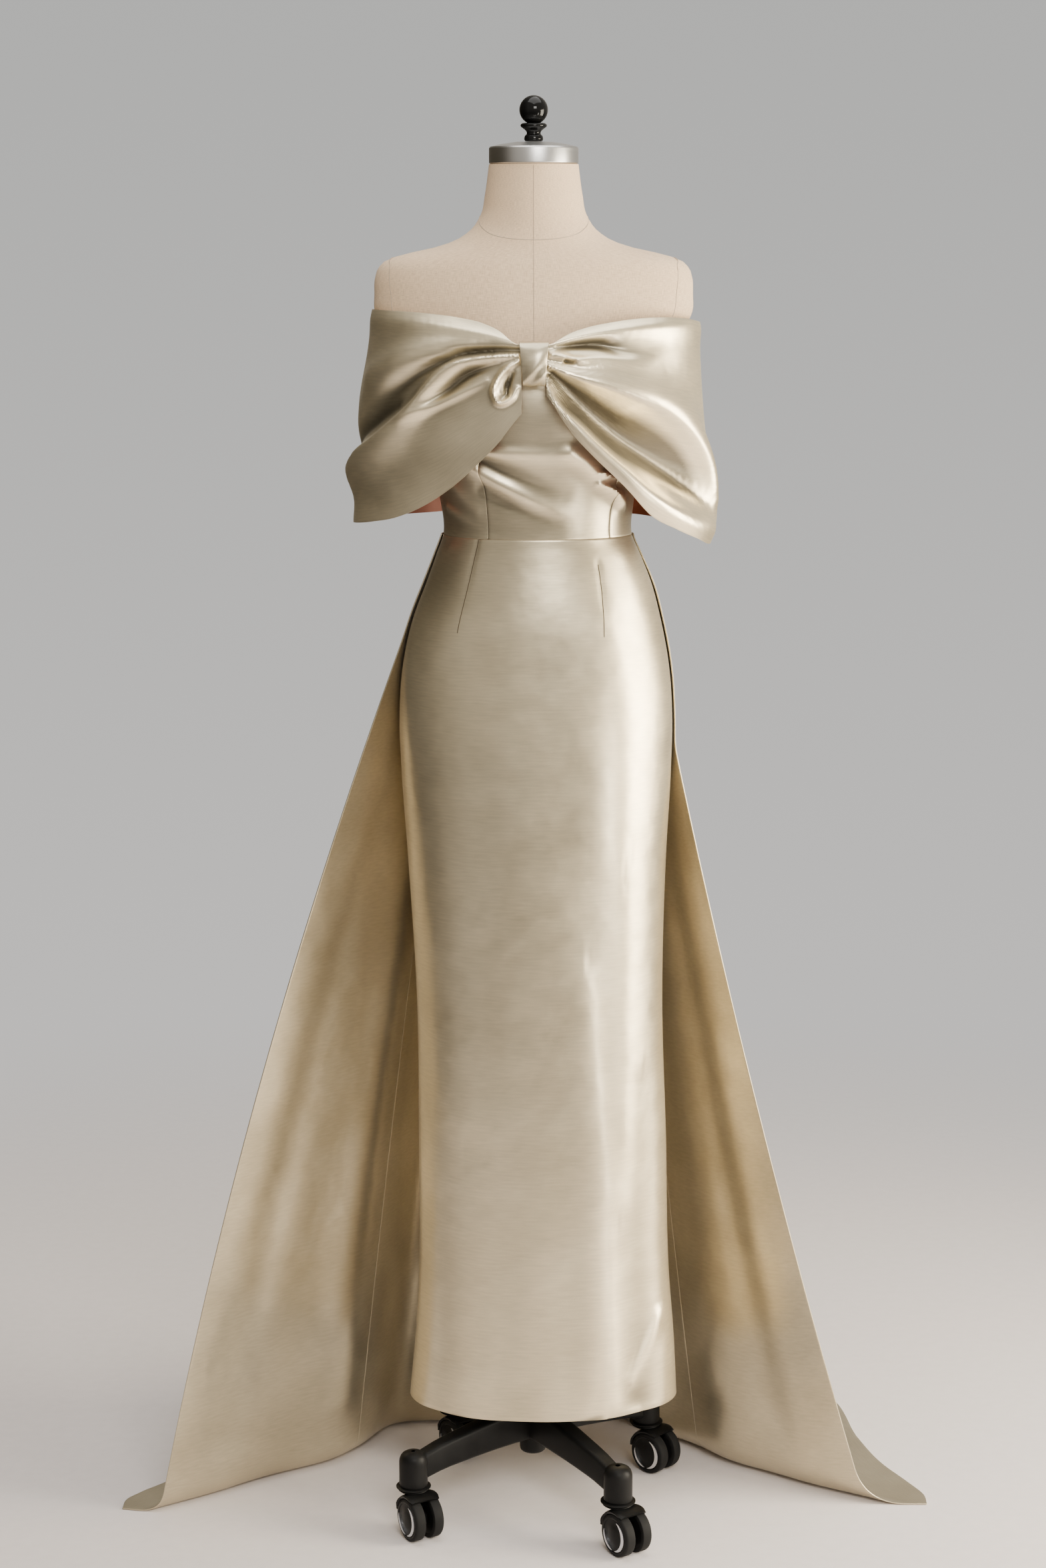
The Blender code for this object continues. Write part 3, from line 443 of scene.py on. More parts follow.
@dataclass(frozen=True)
class SatinFinish:
    """Heavy bridal satin: a soft metallic lustre over a close weave."""

    name: str = "champagne_satin"
    light: Colour = (0.760, 0.665, 0.475)
    deep: Colour = (0.620, 0.535, 0.370)
    metallic: float = 0.82
    gloss: Pair = (0.285, 0.36)
    # painted shade and painted highlight: the colour's factor in the deepest troughs and on the highest crests
    fold_shade: Pair = (0.27, 1.23)

    def make(self) -> Material:
        """Builds the finish.

        Returns:
            The material.
        """
        tree = NodeTree(bpy.data.materials.new(self.name))
        where = tree.coordinates()
        cloud = tree.noise(where, 9.0, 4.0)
        crumple = tree.noise(where, 18.0, 1.5)
        dapple = tree.noise(where, 85.0, 1.0)
        weave = tree.noise(tree.coordinates("UV", (1100.0, 2600.0, 1.0)), 1.0, 1.0)
        slub = tree.noise(tree.coordinates("UV", (40.0, 420.0, 1.0)), 1.0, 3.0)
        normal = None
        for height, distance in ((crumple, 0.0014), (dapple, 0.00010), (slub, 0.000012), (weave, 0.000015)):
            normal = tree.bump(height, distance, normal)
        # painted shade in troughs and painted highlight on crests, from the fold mark, times the weave's own
        # grain
        fold = tree.add("Attribute", attribute_name="fold").outputs["Fac"]
        shade = tree.remap(fold, -1.0, 1.0, *self.fold_shade)
        for grain, depth in ((slub, 0.07), (weave, 0.10)):
            shade = tree.reckon("MULTIPLY", shade, tree.spread(grain, 1.0 - depth, 1.0 + depth))
        colour = tree.blend(tree.spread(cloud, 0.0, 1.0), self.deep, self.light)
        return tree.principled(
            Base_Color=tree.add("VectorMath", {0: colour, "Scale": shade}, operation="SCALE").outputs["Vector"],
            Roughness=tree.spread(tree.noise(where, 34.0, 5.0), *self.gloss),
            Metallic=self.metallic,
            Normal=normal,
            Sheen_Weight=0.06,
            Sheen_Roughness=0.35,
            Sheen_Tint=(1.0, 0.93, 0.80, 1.0),
        )


@dataclass(frozen=True)
class LinenFinish:
    """The form's fine plain-weave linen cover."""

    light: Colour = (0.900, 0.675, 0.440)
    deep: Colour = (0.640, 0.450, 0.280)
    threads: float = 1500.0

    def make(self) -> Material:
        """Builds the finish.

        Returns:
            The material.
        """
        tree = NodeTree(bpy.data.materials.new("beige_linen"))
        warp = tree.noise(tree.coordinates("UV", (self.threads, 140.0, 1.0)), 1.0, 2.0)
        weft = tree.noise(tree.coordinates("UV", (140.0, self.threads, 1.0)), 1.0, 2.0)
        cloth = tree.reckon("MULTIPLY", warp, weft)
        cloud = tree.noise(tree.coordinates(), 9.0, 3.0)
        shade = tree.reckon("MULTIPLY", cloth, 1.55)
        shade = tree.reckon("ADD", shade, tree.spread(cloud, -0.05, 0.05))
        shade = tree.reckon("ADD", shade, 0.16)
        return tree.principled(
            Base_Color=tree.blend(tree.spread(shade, 0.0, 1.0), self.deep, self.light),
            Roughness=tree.spread(cloud, 0.78, 0.90),
            Normal=tree.bump(cloth, 0.00022),
            Sheen_Weight=0.12,
            Sheen_Roughness=0.50,
        )


@dataclass(frozen=True)
class MetalFinish:
    """Metal brushed round the upright axis."""

    name: str = "brushed_silver"
    colour: Colour = (0.60, 0.595, 0.585)
    gloss: Pair = (0.285, 0.37)
    lines: float = 2600.0

    def make(self) -> Material:
        """Builds the finish.

        Returns:
            The material.
        """
        tree = NodeTree(bpy.data.materials.new(self.name))
        lines = tree.noise(tree.coordinates("Object", (6.0, 6.0, self.lines)), 1.0, 2.0)
        return tree.principled(
            Base_Color=(*self.colour, 1.0),
            Metallic=1.0,
            Roughness=tree.spread(lines, *self.gloss),
            Normal=tree.bump(lines, 0.00002),
        )


@dataclass(frozen=True)
class HardFinish:
    """Paint, plastic or rubber with a fine grain."""

    name: str
    colour: Colour
    gloss: Pair
    grain: float
    depth: float
    coat: float = 0.0
    specular: float = 0.14

    def make(self) -> Material:
        """Builds the finish.

        Returns:
            The material.
        """
        tree = NodeTree(bpy.data.materials.new(self.name))
        where = tree.coordinates()
        grain = tree.noise(where, self.grain, 2.0)
        wear = tree.noise(where, 40.0, 3.0)
        dusty = tuple(min(1.0, value * 1.5 + 0.001) for value in self.colour)
        return tree.principled(
            Base_Color=tree.blend(tree.spread(wear, 0.0, 1.0), self.colour, dusty),
            Roughness=tree.spread(wear, *self.gloss),
            Normal=tree.bump(grain, self.depth),
            Specular_IOR_Level=self.specular,
            Coat_Weight=self.coat,
            Coat_Roughness=0.06,
        )


HARD_LOOKS = (
    # slot, grey, least and greatest roughness, grains in a metre, their depth, coat
    (Slot.GLOSS, 0.004, (0.10, 0.16), 300.0, 0.00001, 0.2),
    (Slot.CAST, 0.0045, (0.38, 0.50), 1400.0, 0.00006, 0.0),
    (Slot.MOULDED, 0.004, (0.30, 0.42), 1800.0, 0.00004, 0.0),
    (Slot.RUBBER, 0.008, (0.60, 0.75), 1200.0, 0.00008, 0.0),
)


class Wardrobe:
    """Every finish, made once, by its slot or name."""

    def __init__(self) -> None:
        """Builds the materials."""
        self.finish = {
            Slot.SATIN: SatinFinish().make(),
            Slot.LINEN: LinenFinish().make(),
            Slot.SILVER: MetalFinish().make(),
        }
        for slot, grey, gloss, grain, depth, coat in HARD_LOOKS:
            self.finish[slot] = HardFinish(slot.value, (grey, grey, grey), gloss, grain, depth, coat).make()
        # painted highlight: bright silver for the crescents on the wheels' faces
        self.highlight_crescents = MetalFinish("painted_highlight_silver", (0.72, 0.73, 0.77), (0.30, 0.40), 900.0).make()
        # painted shade: a dark rust colour for the capelet's inside, standing in for its shade and warm reflected
        # light
        inside_shade = SatinFinish("painted_shade_inside", (0.240, 0.066, 0.032), (0.150, 0.045, 0.024), 0.20, (0.45, 0.55))
        self.inside_shade = inside_shade.make()
        self.thread, self.dart_shade_cord = (
            HardFinish(name, colour, gloss, 2500.0, 0.00010).make()
            for name, colour, gloss in (
                ("seam_thread", (0.40, 0.315, 0.235), (0.75, 0.85)),
                # near-black: painted shade of the darts' creases
                ("dart_shade_cord", (0.060, 0.046, 0.030), (0.60, 0.75)),
            )
        )


class Workshop:
    """Turns shapes into finished pieces in the frame."""

    def __init__(self, wardrobe: Wardrobe, nodes: dict[str, bpy.types.Object]) -> None:
        """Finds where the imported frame's pole stands.

        Args:
            wardrobe: the finishes.
            nodes: the frame's CAD objects by name.
        """
        low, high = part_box("stand_pole")
        self.pole = Vector(((low[0] + high[0]) / 2, (low[1] + high[1]) / 2, 0.0))
        self.wardrobe = wardrobe
        self.nodes = nodes

    def dress(self, node: str, slot: Slot) -> None:
        """Gives a CAD node that stays in sight its slot's finish."""
        for place in self.nodes[node].material_slots:
            place.material = self.wardrobe.finish[slot]

    def sheet(self, surface: Surface, columns: int, rows: int, size: Rows, flip: bool = False) -> Mesh:
        """Lays a grid of quads on a surface, with a UV map in metres.

        Args:
            surface: gives points for arrays of across and down, both from 0 to 1.
            columns: quads across.
            rows: quads down.
            size: width and length of the flat cloth.
            flip: whether the faces are turned round.

        Returns:
            The mesh, still open.
        """
        work = bmesh.new()
        bmesh.ops.create_grid(work, x_segments=columns, y_segments=rows, size=0.5)
        places = np.array([vertex.co[:2] for vertex in work.verts])
        across, down = places[:, 0] + 0.5, 0.5 - places[:, 1]
        layer = work.loops.layers.uv.new("cloth")
        for face in work.faces:
            for loop in face.loops:
                index = loop.vert.index
                loop[layer].uv = (across[index] * size[0], down[index] * size[1])
        for vertex, point in zip(work.verts, surface(across, down)):
            vertex.co = point
        if flip:
            bmesh.ops.reverse_faces(work, faces=work.faces)
        return work

    def mark_folds(
        self, work: Mesh, columns: int, scales: Rows = ((60, 0.0024),), paths: Sequence[Rows] = ()
    ) -> None:
        """Notes on every vertex how far it stands out of or lies in the cloth around it, from -1 to 1, for the
        satin's painted shade in troughs and painted highlight on crests.

        Args:
            work: a grid laid by sheet, with its relief.
            columns: its quads across.
            scales: how often the cloth is smoothed for each comparison, and the distance that counts as 1.
            paths: places of painted shade, where neighbouring cloth keeps light out, as for fold_along.
        """
        places = np.array([vertex.co[:] for vertex in work.verts]).reshape(-1, columns + 1, 3)
        out = unit(places * LEVEL)
        calm, smoothed = places, 0
        total = np.zeros(places.shape[:2])
        for reach, deepest in scales:
            while smoothed < reach:
                padded = np.pad(calm, ((1, 1), (1, 1), (0, 0)), mode="reflect", reflect_type="odd")
                calm = (padded[:-2, 1:-1] + padded[2:, 1:-1] + padded[1:-1, :-2] + padded[1:-1, 2:]) / 4
                smoothed += 1
            total += np.clip(((places - calm) * out).sum(axis=-1) / deepest, -1.0, 1.0)
        angle = np.degrees(np.arctan2(places[..., 0], -places[..., 1]))
        total += sum(fold_along(path, angle, places[..., 2]) for path in paths)
        layer = work.verts.layers.float.new("fold")
        for vertex, value in zip(work.verts, np.clip(total, -1.0, 1.0).ravel()):
            vertex[layer] = float(value)

    def cord(self, points: Array, radius: float) -> Mesh:
        """A closed cord of thread through points.

        Args:
            points: the points in order, round the pole.
            radius: the cord's radius.

        Returns:
            The mesh.
        """
        last = len(points) - 1

        def surface(across: Array, down: Array) -> Array:
            """Finds points of the cord's skin.

            Args:
                across: places round it.
                down: places along it.

            Returns:
                The points.
            """
            index = np.clip(np.round(down * last).astype(int), 0, last)
            ahead = unit(points[np.clip(index + 1, 0, last)] - points[np.clip(index - 1, 0, last)])
            beside = unit(np.cross(ahead, points[index] * LEVEL))
            turn = (across * math.tau)[:, None]
            return points[index] + radius * (np.cos(turn) * beside + np.sin(turn) * np.cross(beside, ahead))

        work = self.sheet(surface, 6, last, (0.003, 0.5))
        bmesh.ops.remove_doubles(work, verts=work.verts, dist=1e-6)
        bmesh.ops.holes_fill(work, edges=work.edges)
        bmesh.ops.recalc_face_normals(work, faces=work.faces)
        return work

    def turned(self, profile: Rows, sides: int, axis: Triple = (0.0, 0.0, 1.0)) -> Mesh:
        """Spins a profile into a closed solid.

        Args:
            profile: radius and distance along the axis of each corner.
            sides: steps of the spin.
            axis: the axis, along Z or Y.

        Returns:
            The closed mesh.
        """
        work = bmesh.new()
        along = Vector(axis)
        points = [work.verts.new(Vector((row[0], 0.0, 0.0)) + along * row[1]) for row in profile]
        edges = [work.edges.new(pair) for pair in zip(points, points[1:])]
        if profile[0][0] > 0.0:
            edges.append(work.edges.new((points[-1], points[0])))
        bmesh.ops.spin(
            work, geom=points + edges, cent=(0, 0, 0), axis=axis, angle=math.tau, steps=sides, use_merge=True
        )
        bmesh.ops.remove_doubles(work, verts=work.verts, dist=1e-6)
        bmesh.ops.recalc_face_normals(work, faces=work.faces)
        return work

    def join(self, parts: Iterable[Mesh]) -> Mesh:
        """Puts several meshes in one.

        Args:
            parts: the meshes, which are freed.

        Returns:
            The whole.
        """
        whole = bmesh.new()
        for part in parts:
            mesh = bpy.data.meshes.new("part")
            part.to_mesh(mesh)
            part.free()
            whole.from_mesh(mesh)
            bpy.data.meshes.remove(mesh)
        return whole

    def place(self, work: Mesh, at: Vector, turn: float = 0.0) -> Mesh:
        """Turns a mesh about the upright axis and moves it.

        Args:
            work: the mesh.
            at: how far it moves.
            turn: how far it turns first, in degrees.

        Returns:
            The same mesh.
        """
        bmesh.ops.rotate(work, verts=work.verts, matrix=Matrix.Rotation(math.radians(turn), 3, "Z"))
        bmesh.ops.translate(work, verts=work.verts, vec=at)
        return work

    def block(self, size: Sequence[float], at: Sequence[float] = (0.0, 0.0, 0.0)) -> Mesh:
        """Makes a box.

        Args:
            size: its size.
            at: its centre.

        Returns:
            The mesh.
        """
        work = bmesh.new()
        bmesh.ops.create_cube(work, size=1.0)
        bmesh.ops.scale(work, verts=work.verts, vec=size)
        bmesh.ops.translate(work, verts=work.verts, vec=at)
        return work

    def soften(
        self, work: Mesh, edges: Iterable[bmesh.types.BMEdge], width: float, segments: int, clamp: bool = False
    ) -> None:
        """Rounds edges.

        Args:
            work: the mesh.
            edges: its edges that are rounded.
            width: how far the rounding reaches.
            segments: its steps.
            clamp: whether neighbouring roundings stop where they meet.
        """
        bmesh.ops.bevel(
            work, geom=list(edges), offset=width, segments=segments, profile=0.5, affect="EDGES", material=-1,
            clamp_overlap=clamp,
        )

    def piece(
        self,
        name: str,
        work: Mesh,
        slot: Slot,
        body: str = ROOT,
        replaces: Sequence[str] = (),
        sharp: float = 40.0,
        finish: Material | None = None,
    ) -> bpy.types.Object:
        """Ends a mesh as a piece that rides on a body.

        Args:
            name: the piece's name.
            work: its mesh round the pole, which is moved to the frame and freed.
            slot: the record's slot.
            body: the body that it rides on.
            replaces: CAD nodes that it stands for.
            sharp: the angle over which an edge stays sharp.
            finish: its material, where it isn't the slot's own.

        Returns:
            The piece.
        """
        bmesh.ops.translate(work, verts=work.verts, vec=self.pole)
        made = as_object(name, work, finish or self.wardrobe.finish[slot])
        made.data.shade_smooth()
        made.data.set_sharp_from_angle(angle=math.radians(sharp))
        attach(made, body)
        if replaces:
            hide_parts(*replaces)
        LOG.info("%s: %d faces", name, len(made.data.polygons))
        return made

    def cloth(
        self,
        node: str,
        work: Mesh,
        held: Held,
        size: Pair,
        area: float | None = None,
        rests_on: Sequence[str] = (),
        grows: float = -1.0,
    ) -> bpy.types.Object:
        """Args:
            node: the panel's node.
            work: the open grid.
            held: how the cloth is held; not used.
            size: the flat panel's width and length; not used.
            area: the flat panel's area, where it isn't a rectangle; not used.
            rests_on: what it lies on; not used.
            grows: -1 where the wall grows inwards from the grid, 1 where outwards.

        Returns:
            The piece.
        """
        made = self.piece(f"{node}_satin", work, Slot.SATIN, replaces=(node,))
        wall = made.modifiers.new("wall", "SOLIDIFY")
        wall.thickness = WALL
        wall.offset = grows
        edge = made.modifiers.new("turned_edge", "BEVEL")
        edge.width = 0.0005
        edge.segments = 2
        edge.limit_method = "ANGLE"
        edge.angle_limit = math.radians(60.0)
        return made


@dataclass(frozen=True)
class Assembly:
    """A group of pieces that is built in a workshop."""

    shop: Workshop


@dataclass(frozen=True)
class Bodice(Assembly):
    """Five fitted panels from the waist seam to the strapless neckline."""

    panels: Sequence[tuple[str, float, float]] = (
        ("bodice_centre_front", -30.0, 50.0),
        ("bodice_side_front_left", -90.0, -30.0),
        ("bodice_side_front_right", 50.0, 90.0),
        ("bodice_back_right", 90.0, 180.0),
        ("bodice_back_left", 180.0, 270.0),
    )
    neckline: Rows = (
        # angle, z
        (0.0, 1.444), (50.0, 1.446), (90.0, 1.428), (180.0, 1.41),
    )
    drapes: FoldField = FoldField(
        rows=(
            (-34.0, 1.33, 17.0, 1.326, 0.002, 0.0056, 0.001, 0.006, 0.01, 0.008, 0.012),
            (-34.0, 1.312, 27.0, 1.248, -0.004, 0.0078, 0.0008, 0.007, 0.01, 0.011, 0.014),
            (-28.0, 1.323, 16.0, 1.284, 0.0, -0.004, -0.0006, 0.007, 0.007, 0.01, 0.01),
            (-30.0, 1.284, 15.0, 1.246, 0.0, -0.004, -0.0006, 0.008, 0.008, 0.011, 0.011),
            (18.0, 1.33, 58.0, 1.268, 0.0, 0.0046, 0.0046, 0.01, 0.01),
            (38.0, 1.306, 62.0, 1.292, 0.0, 0.0032, 0.002, 0.003, 0.004),
            (36.0, 1.292, 60.0, 1.274, 0.001, 0.003, 0.002, 0.003, 0.004),
            (48.0, 1.282, 64.0, 1.262, 0.0, 0.0028, 0.002, 0.003, 0.004),
            (-66.0, 1.262, -36.0, 1.24, 0.0, 0.0022, 0.0012, 0.004, 0.006),
            (-60.0, 1.3, -36.0, 1.262, 0.0, 0.0014, 0.0012, 0.007, 0.007),
            (100.0, 1.33, 160.0, 1.262, 0.0, 0.0018, 0.0014, 0.01, 0.01),
            (-100.0, 1.326, -158.0, 1.258, 0.0, 0.0018, 0.0014, 0.01, 0.01),
        ),
        radius=0.115,
    )
    flat_radius: float = 0.135
    length: float = 0.215
    quad: float = 0.0026
    rows: int = 84
    fade: float = 0.2
    deepest: float = -0.0012
    side_seam: Pair = (0.0005, 0.0022)
    waist_seam: Pair = (0.0002, 0.003)

    def surface(self, start: float, end: float, across: Array, down: Array) -> Array:
        """The outside of one panel, from the neckline down to the waist seam.

        Args:
            start: the panel's first seam, in degrees.
            end: its last seam.
            across: places from the first seam to the last.
            down: places from top to bottom.

        Returns:
            The points.
        """
        angle, turned = panel_angles(start, end, across)
        top = smooth_table(self.neckline, abs(turned))[..., 0]
        bottom = WAIST_Z + SEAM_GAP / 2
        z = top + (bottom - top) * down
        raised = np.maximum(self.drapes.height(turned, z) * ease_in((1 - down) / self.fade), self.deepest)
        edge = np.minimum(across, 1 - across) * math.radians(end - start) * self.drapes.radius
        raised = raised - seam_dip(edge, *self.side_seam) - seam_dip(z - bottom, *self.waist_seam)
        return around(GOWN, angle, z, raised)

    def build(self) -> None:
        """Makes the panels."""
        for node, start, end in self.panels:
            width = math.radians(end - start) * self.flat_radius
            columns = max(30, round(width / self.quad))
            size = (width, self.length)
            work = self.shop.sheet(partial(self.surface, start, end), columns, self.rows, size)
            self.shop.mark_folds(work, columns)
            self.shop.cloth(node, work, Held.STRETCHED, size, rests_on=("form_torso",))


@dataclass(frozen=True)
class Skirt(Assembly):
    """The straight skirt: a front with two darts, and two backs."""

    panels: Sequence[tuple[str, float, float, int, int]] = (
        ("skirt_front", -90.0, 90.0, 140, 200),
        ("skirt_back_right", 90.0, 180.0, 56, 130),
        ("skirt_back_left", 180.0, 270.0, 56, 130),
    )
    folds: FoldField = FoldField(
        rows=(
            (-62.0, 1.216, -40.0, 1.222, 0.0, 0.0018, 0.0006, 0.004, 0.006),
            (62.0, 1.222, 46.0, 1.22, 0.0, 0.0016, 0.0006, 0.004, 0.006),
            (34.0, 1.12, 40.0, 0.86, 0.004, 0.0012, 0.0022, 0.03, 0.04),
            (10.0, 1.08, 26.0, 0.7, 0.0, -0.001, -0.0014, 0.026, 0.03),
            (-30.0, 1.05, -36.0, 0.52, 0.004, 0.001, 0.0016, 0.04, 0.034),
            (46.0, 0.82, 40.0, 0.42, -0.006, 0.0018, 0.0024, 0.022, 0.03),
            (24.0, 0.7, 30.0, 0.16, 0.008, 0.0022, 0.0052, 0.016, 0.022),
            (56.0, 0.56, 48.0, 0.16, 0.0, -0.002, -0.0048, 0.02, 0.024),
            (-4.0, 0.62, -8.0, 0.15, 0.004, -0.001, -0.0034, 0.036, 0.036),
            (-52.0, 0.48, -48.0, 0.15, 0.0, -0.001, -0.0022, 0.026, 0.026),
            (64.0, 0.262, 44.0, 0.186, 0.0, 0.0026, 0.003, 0.007, 0.012),
        ),
        radius=0.13,
    )
    darts: Rows = (
        # angle at the waist, lean, drop to its start, drop to its point
        (-37.0, -0.6, 0.0, 0.11), (37.0, -5.0, 0.03, 0.114),
    )
    dart_depth: float = 0.0006
    dart_width: float = 0.0040
    dart_radius: float = 0.12
    dart_start: float = 0.01
    thread_lift: float = 0.0001
    thread_radius: float = 0.00045
    flat_radius: float = 0.145
    length: float = 1.09
    crowding: float = 1.15
    fade: float = 0.03
    side_seam: Pair = (0.0005, 0.0024)
    waist_seam: Pair = (0.0002, 0.003)

    def surface(self, start: float, end: float, across: Array, down: Array) -> Array:
        """The outside of one panel, from the waist seam down to the hem.

        Args:
            start: the panel's first seam, in degrees.
            end: its last seam.
            across: places from the first seam to the last.
            down: places from top to bottom.

        Returns:
            The points.
        """
        angle, turned = panel_angles(start, end, across)
        top = WAIST_Z - SEAM_GAP / 2
        z = top + (HEM_Z - top) * down**self.crowding
        raised = self.folds.height(turned, z) * ease_in((top - z) / self.fade)
        edge = np.minimum(across, 1 - across) * math.radians(end - start) * self.folds.radius
        raised = raised - seam_dip(edge, *self.side_seam) - seam_dip(top - z, *self.waist_seam)
        for place, lean, first, last in self.darts:
            drop = np.clip((top - z) / last, 0.0, 1.0)
            depth = self.dart_sink(drop) * ease_in((top - z - first) / self.dart_start + 1.0)
            beside = np.radians(turned - place - lean * drop) * self.dart_radius
            raised = raised - seam_dip(beside, depth, self.dart_width)
        return around(GOWN, angle, z, raised)

    def dart_sink(self, drop: Array) -> Array:
        """How deep a dart lies, from 0 at the waist to 1 at its point."""
        return self.dart_depth * (1 - ease_in(drop))

    def sew_darts(self) -> None:
        """Lays a near-black cord along each dart's line of sewing, as painted shade of the dart's crease."""
        parts = []
        for place, lean, first, last in self.darts:
            drop = np.linspace(max(self.dart_start, first / last), 1.0, 60)
            angle, fall = place + lean * drop, last * drop
            raised = self.folds.height(angle, WAIST_Z - fall) * ease_in(fall / self.fade)
            out = raised - self.dart_sink(drop) + self.thread_lift
            parts.append(self.shop.cord(around(GOWN, angle, WAIST_Z - fall, out), self.thread_radius))
        self.shop.piece("dart_shade_cords", self.shop.join(parts), Slot.SATIN, finish=self.shop.wardrobe.dart_shade_cord)

    def build(self) -> None:
        """Makes the panels."""
        for node, start, end, columns, rows in self.panels:
            size = (math.radians(end - start) * self.flat_radius, self.length)
            work = self.shop.sheet(partial(self.surface, start, end), columns, rows, size)
            self.shop.mark_folds(work, columns)
            self.shop.cloth(node, work, Held.HUNG, size, rests_on=("form_torso",))
        self.sew_darts()


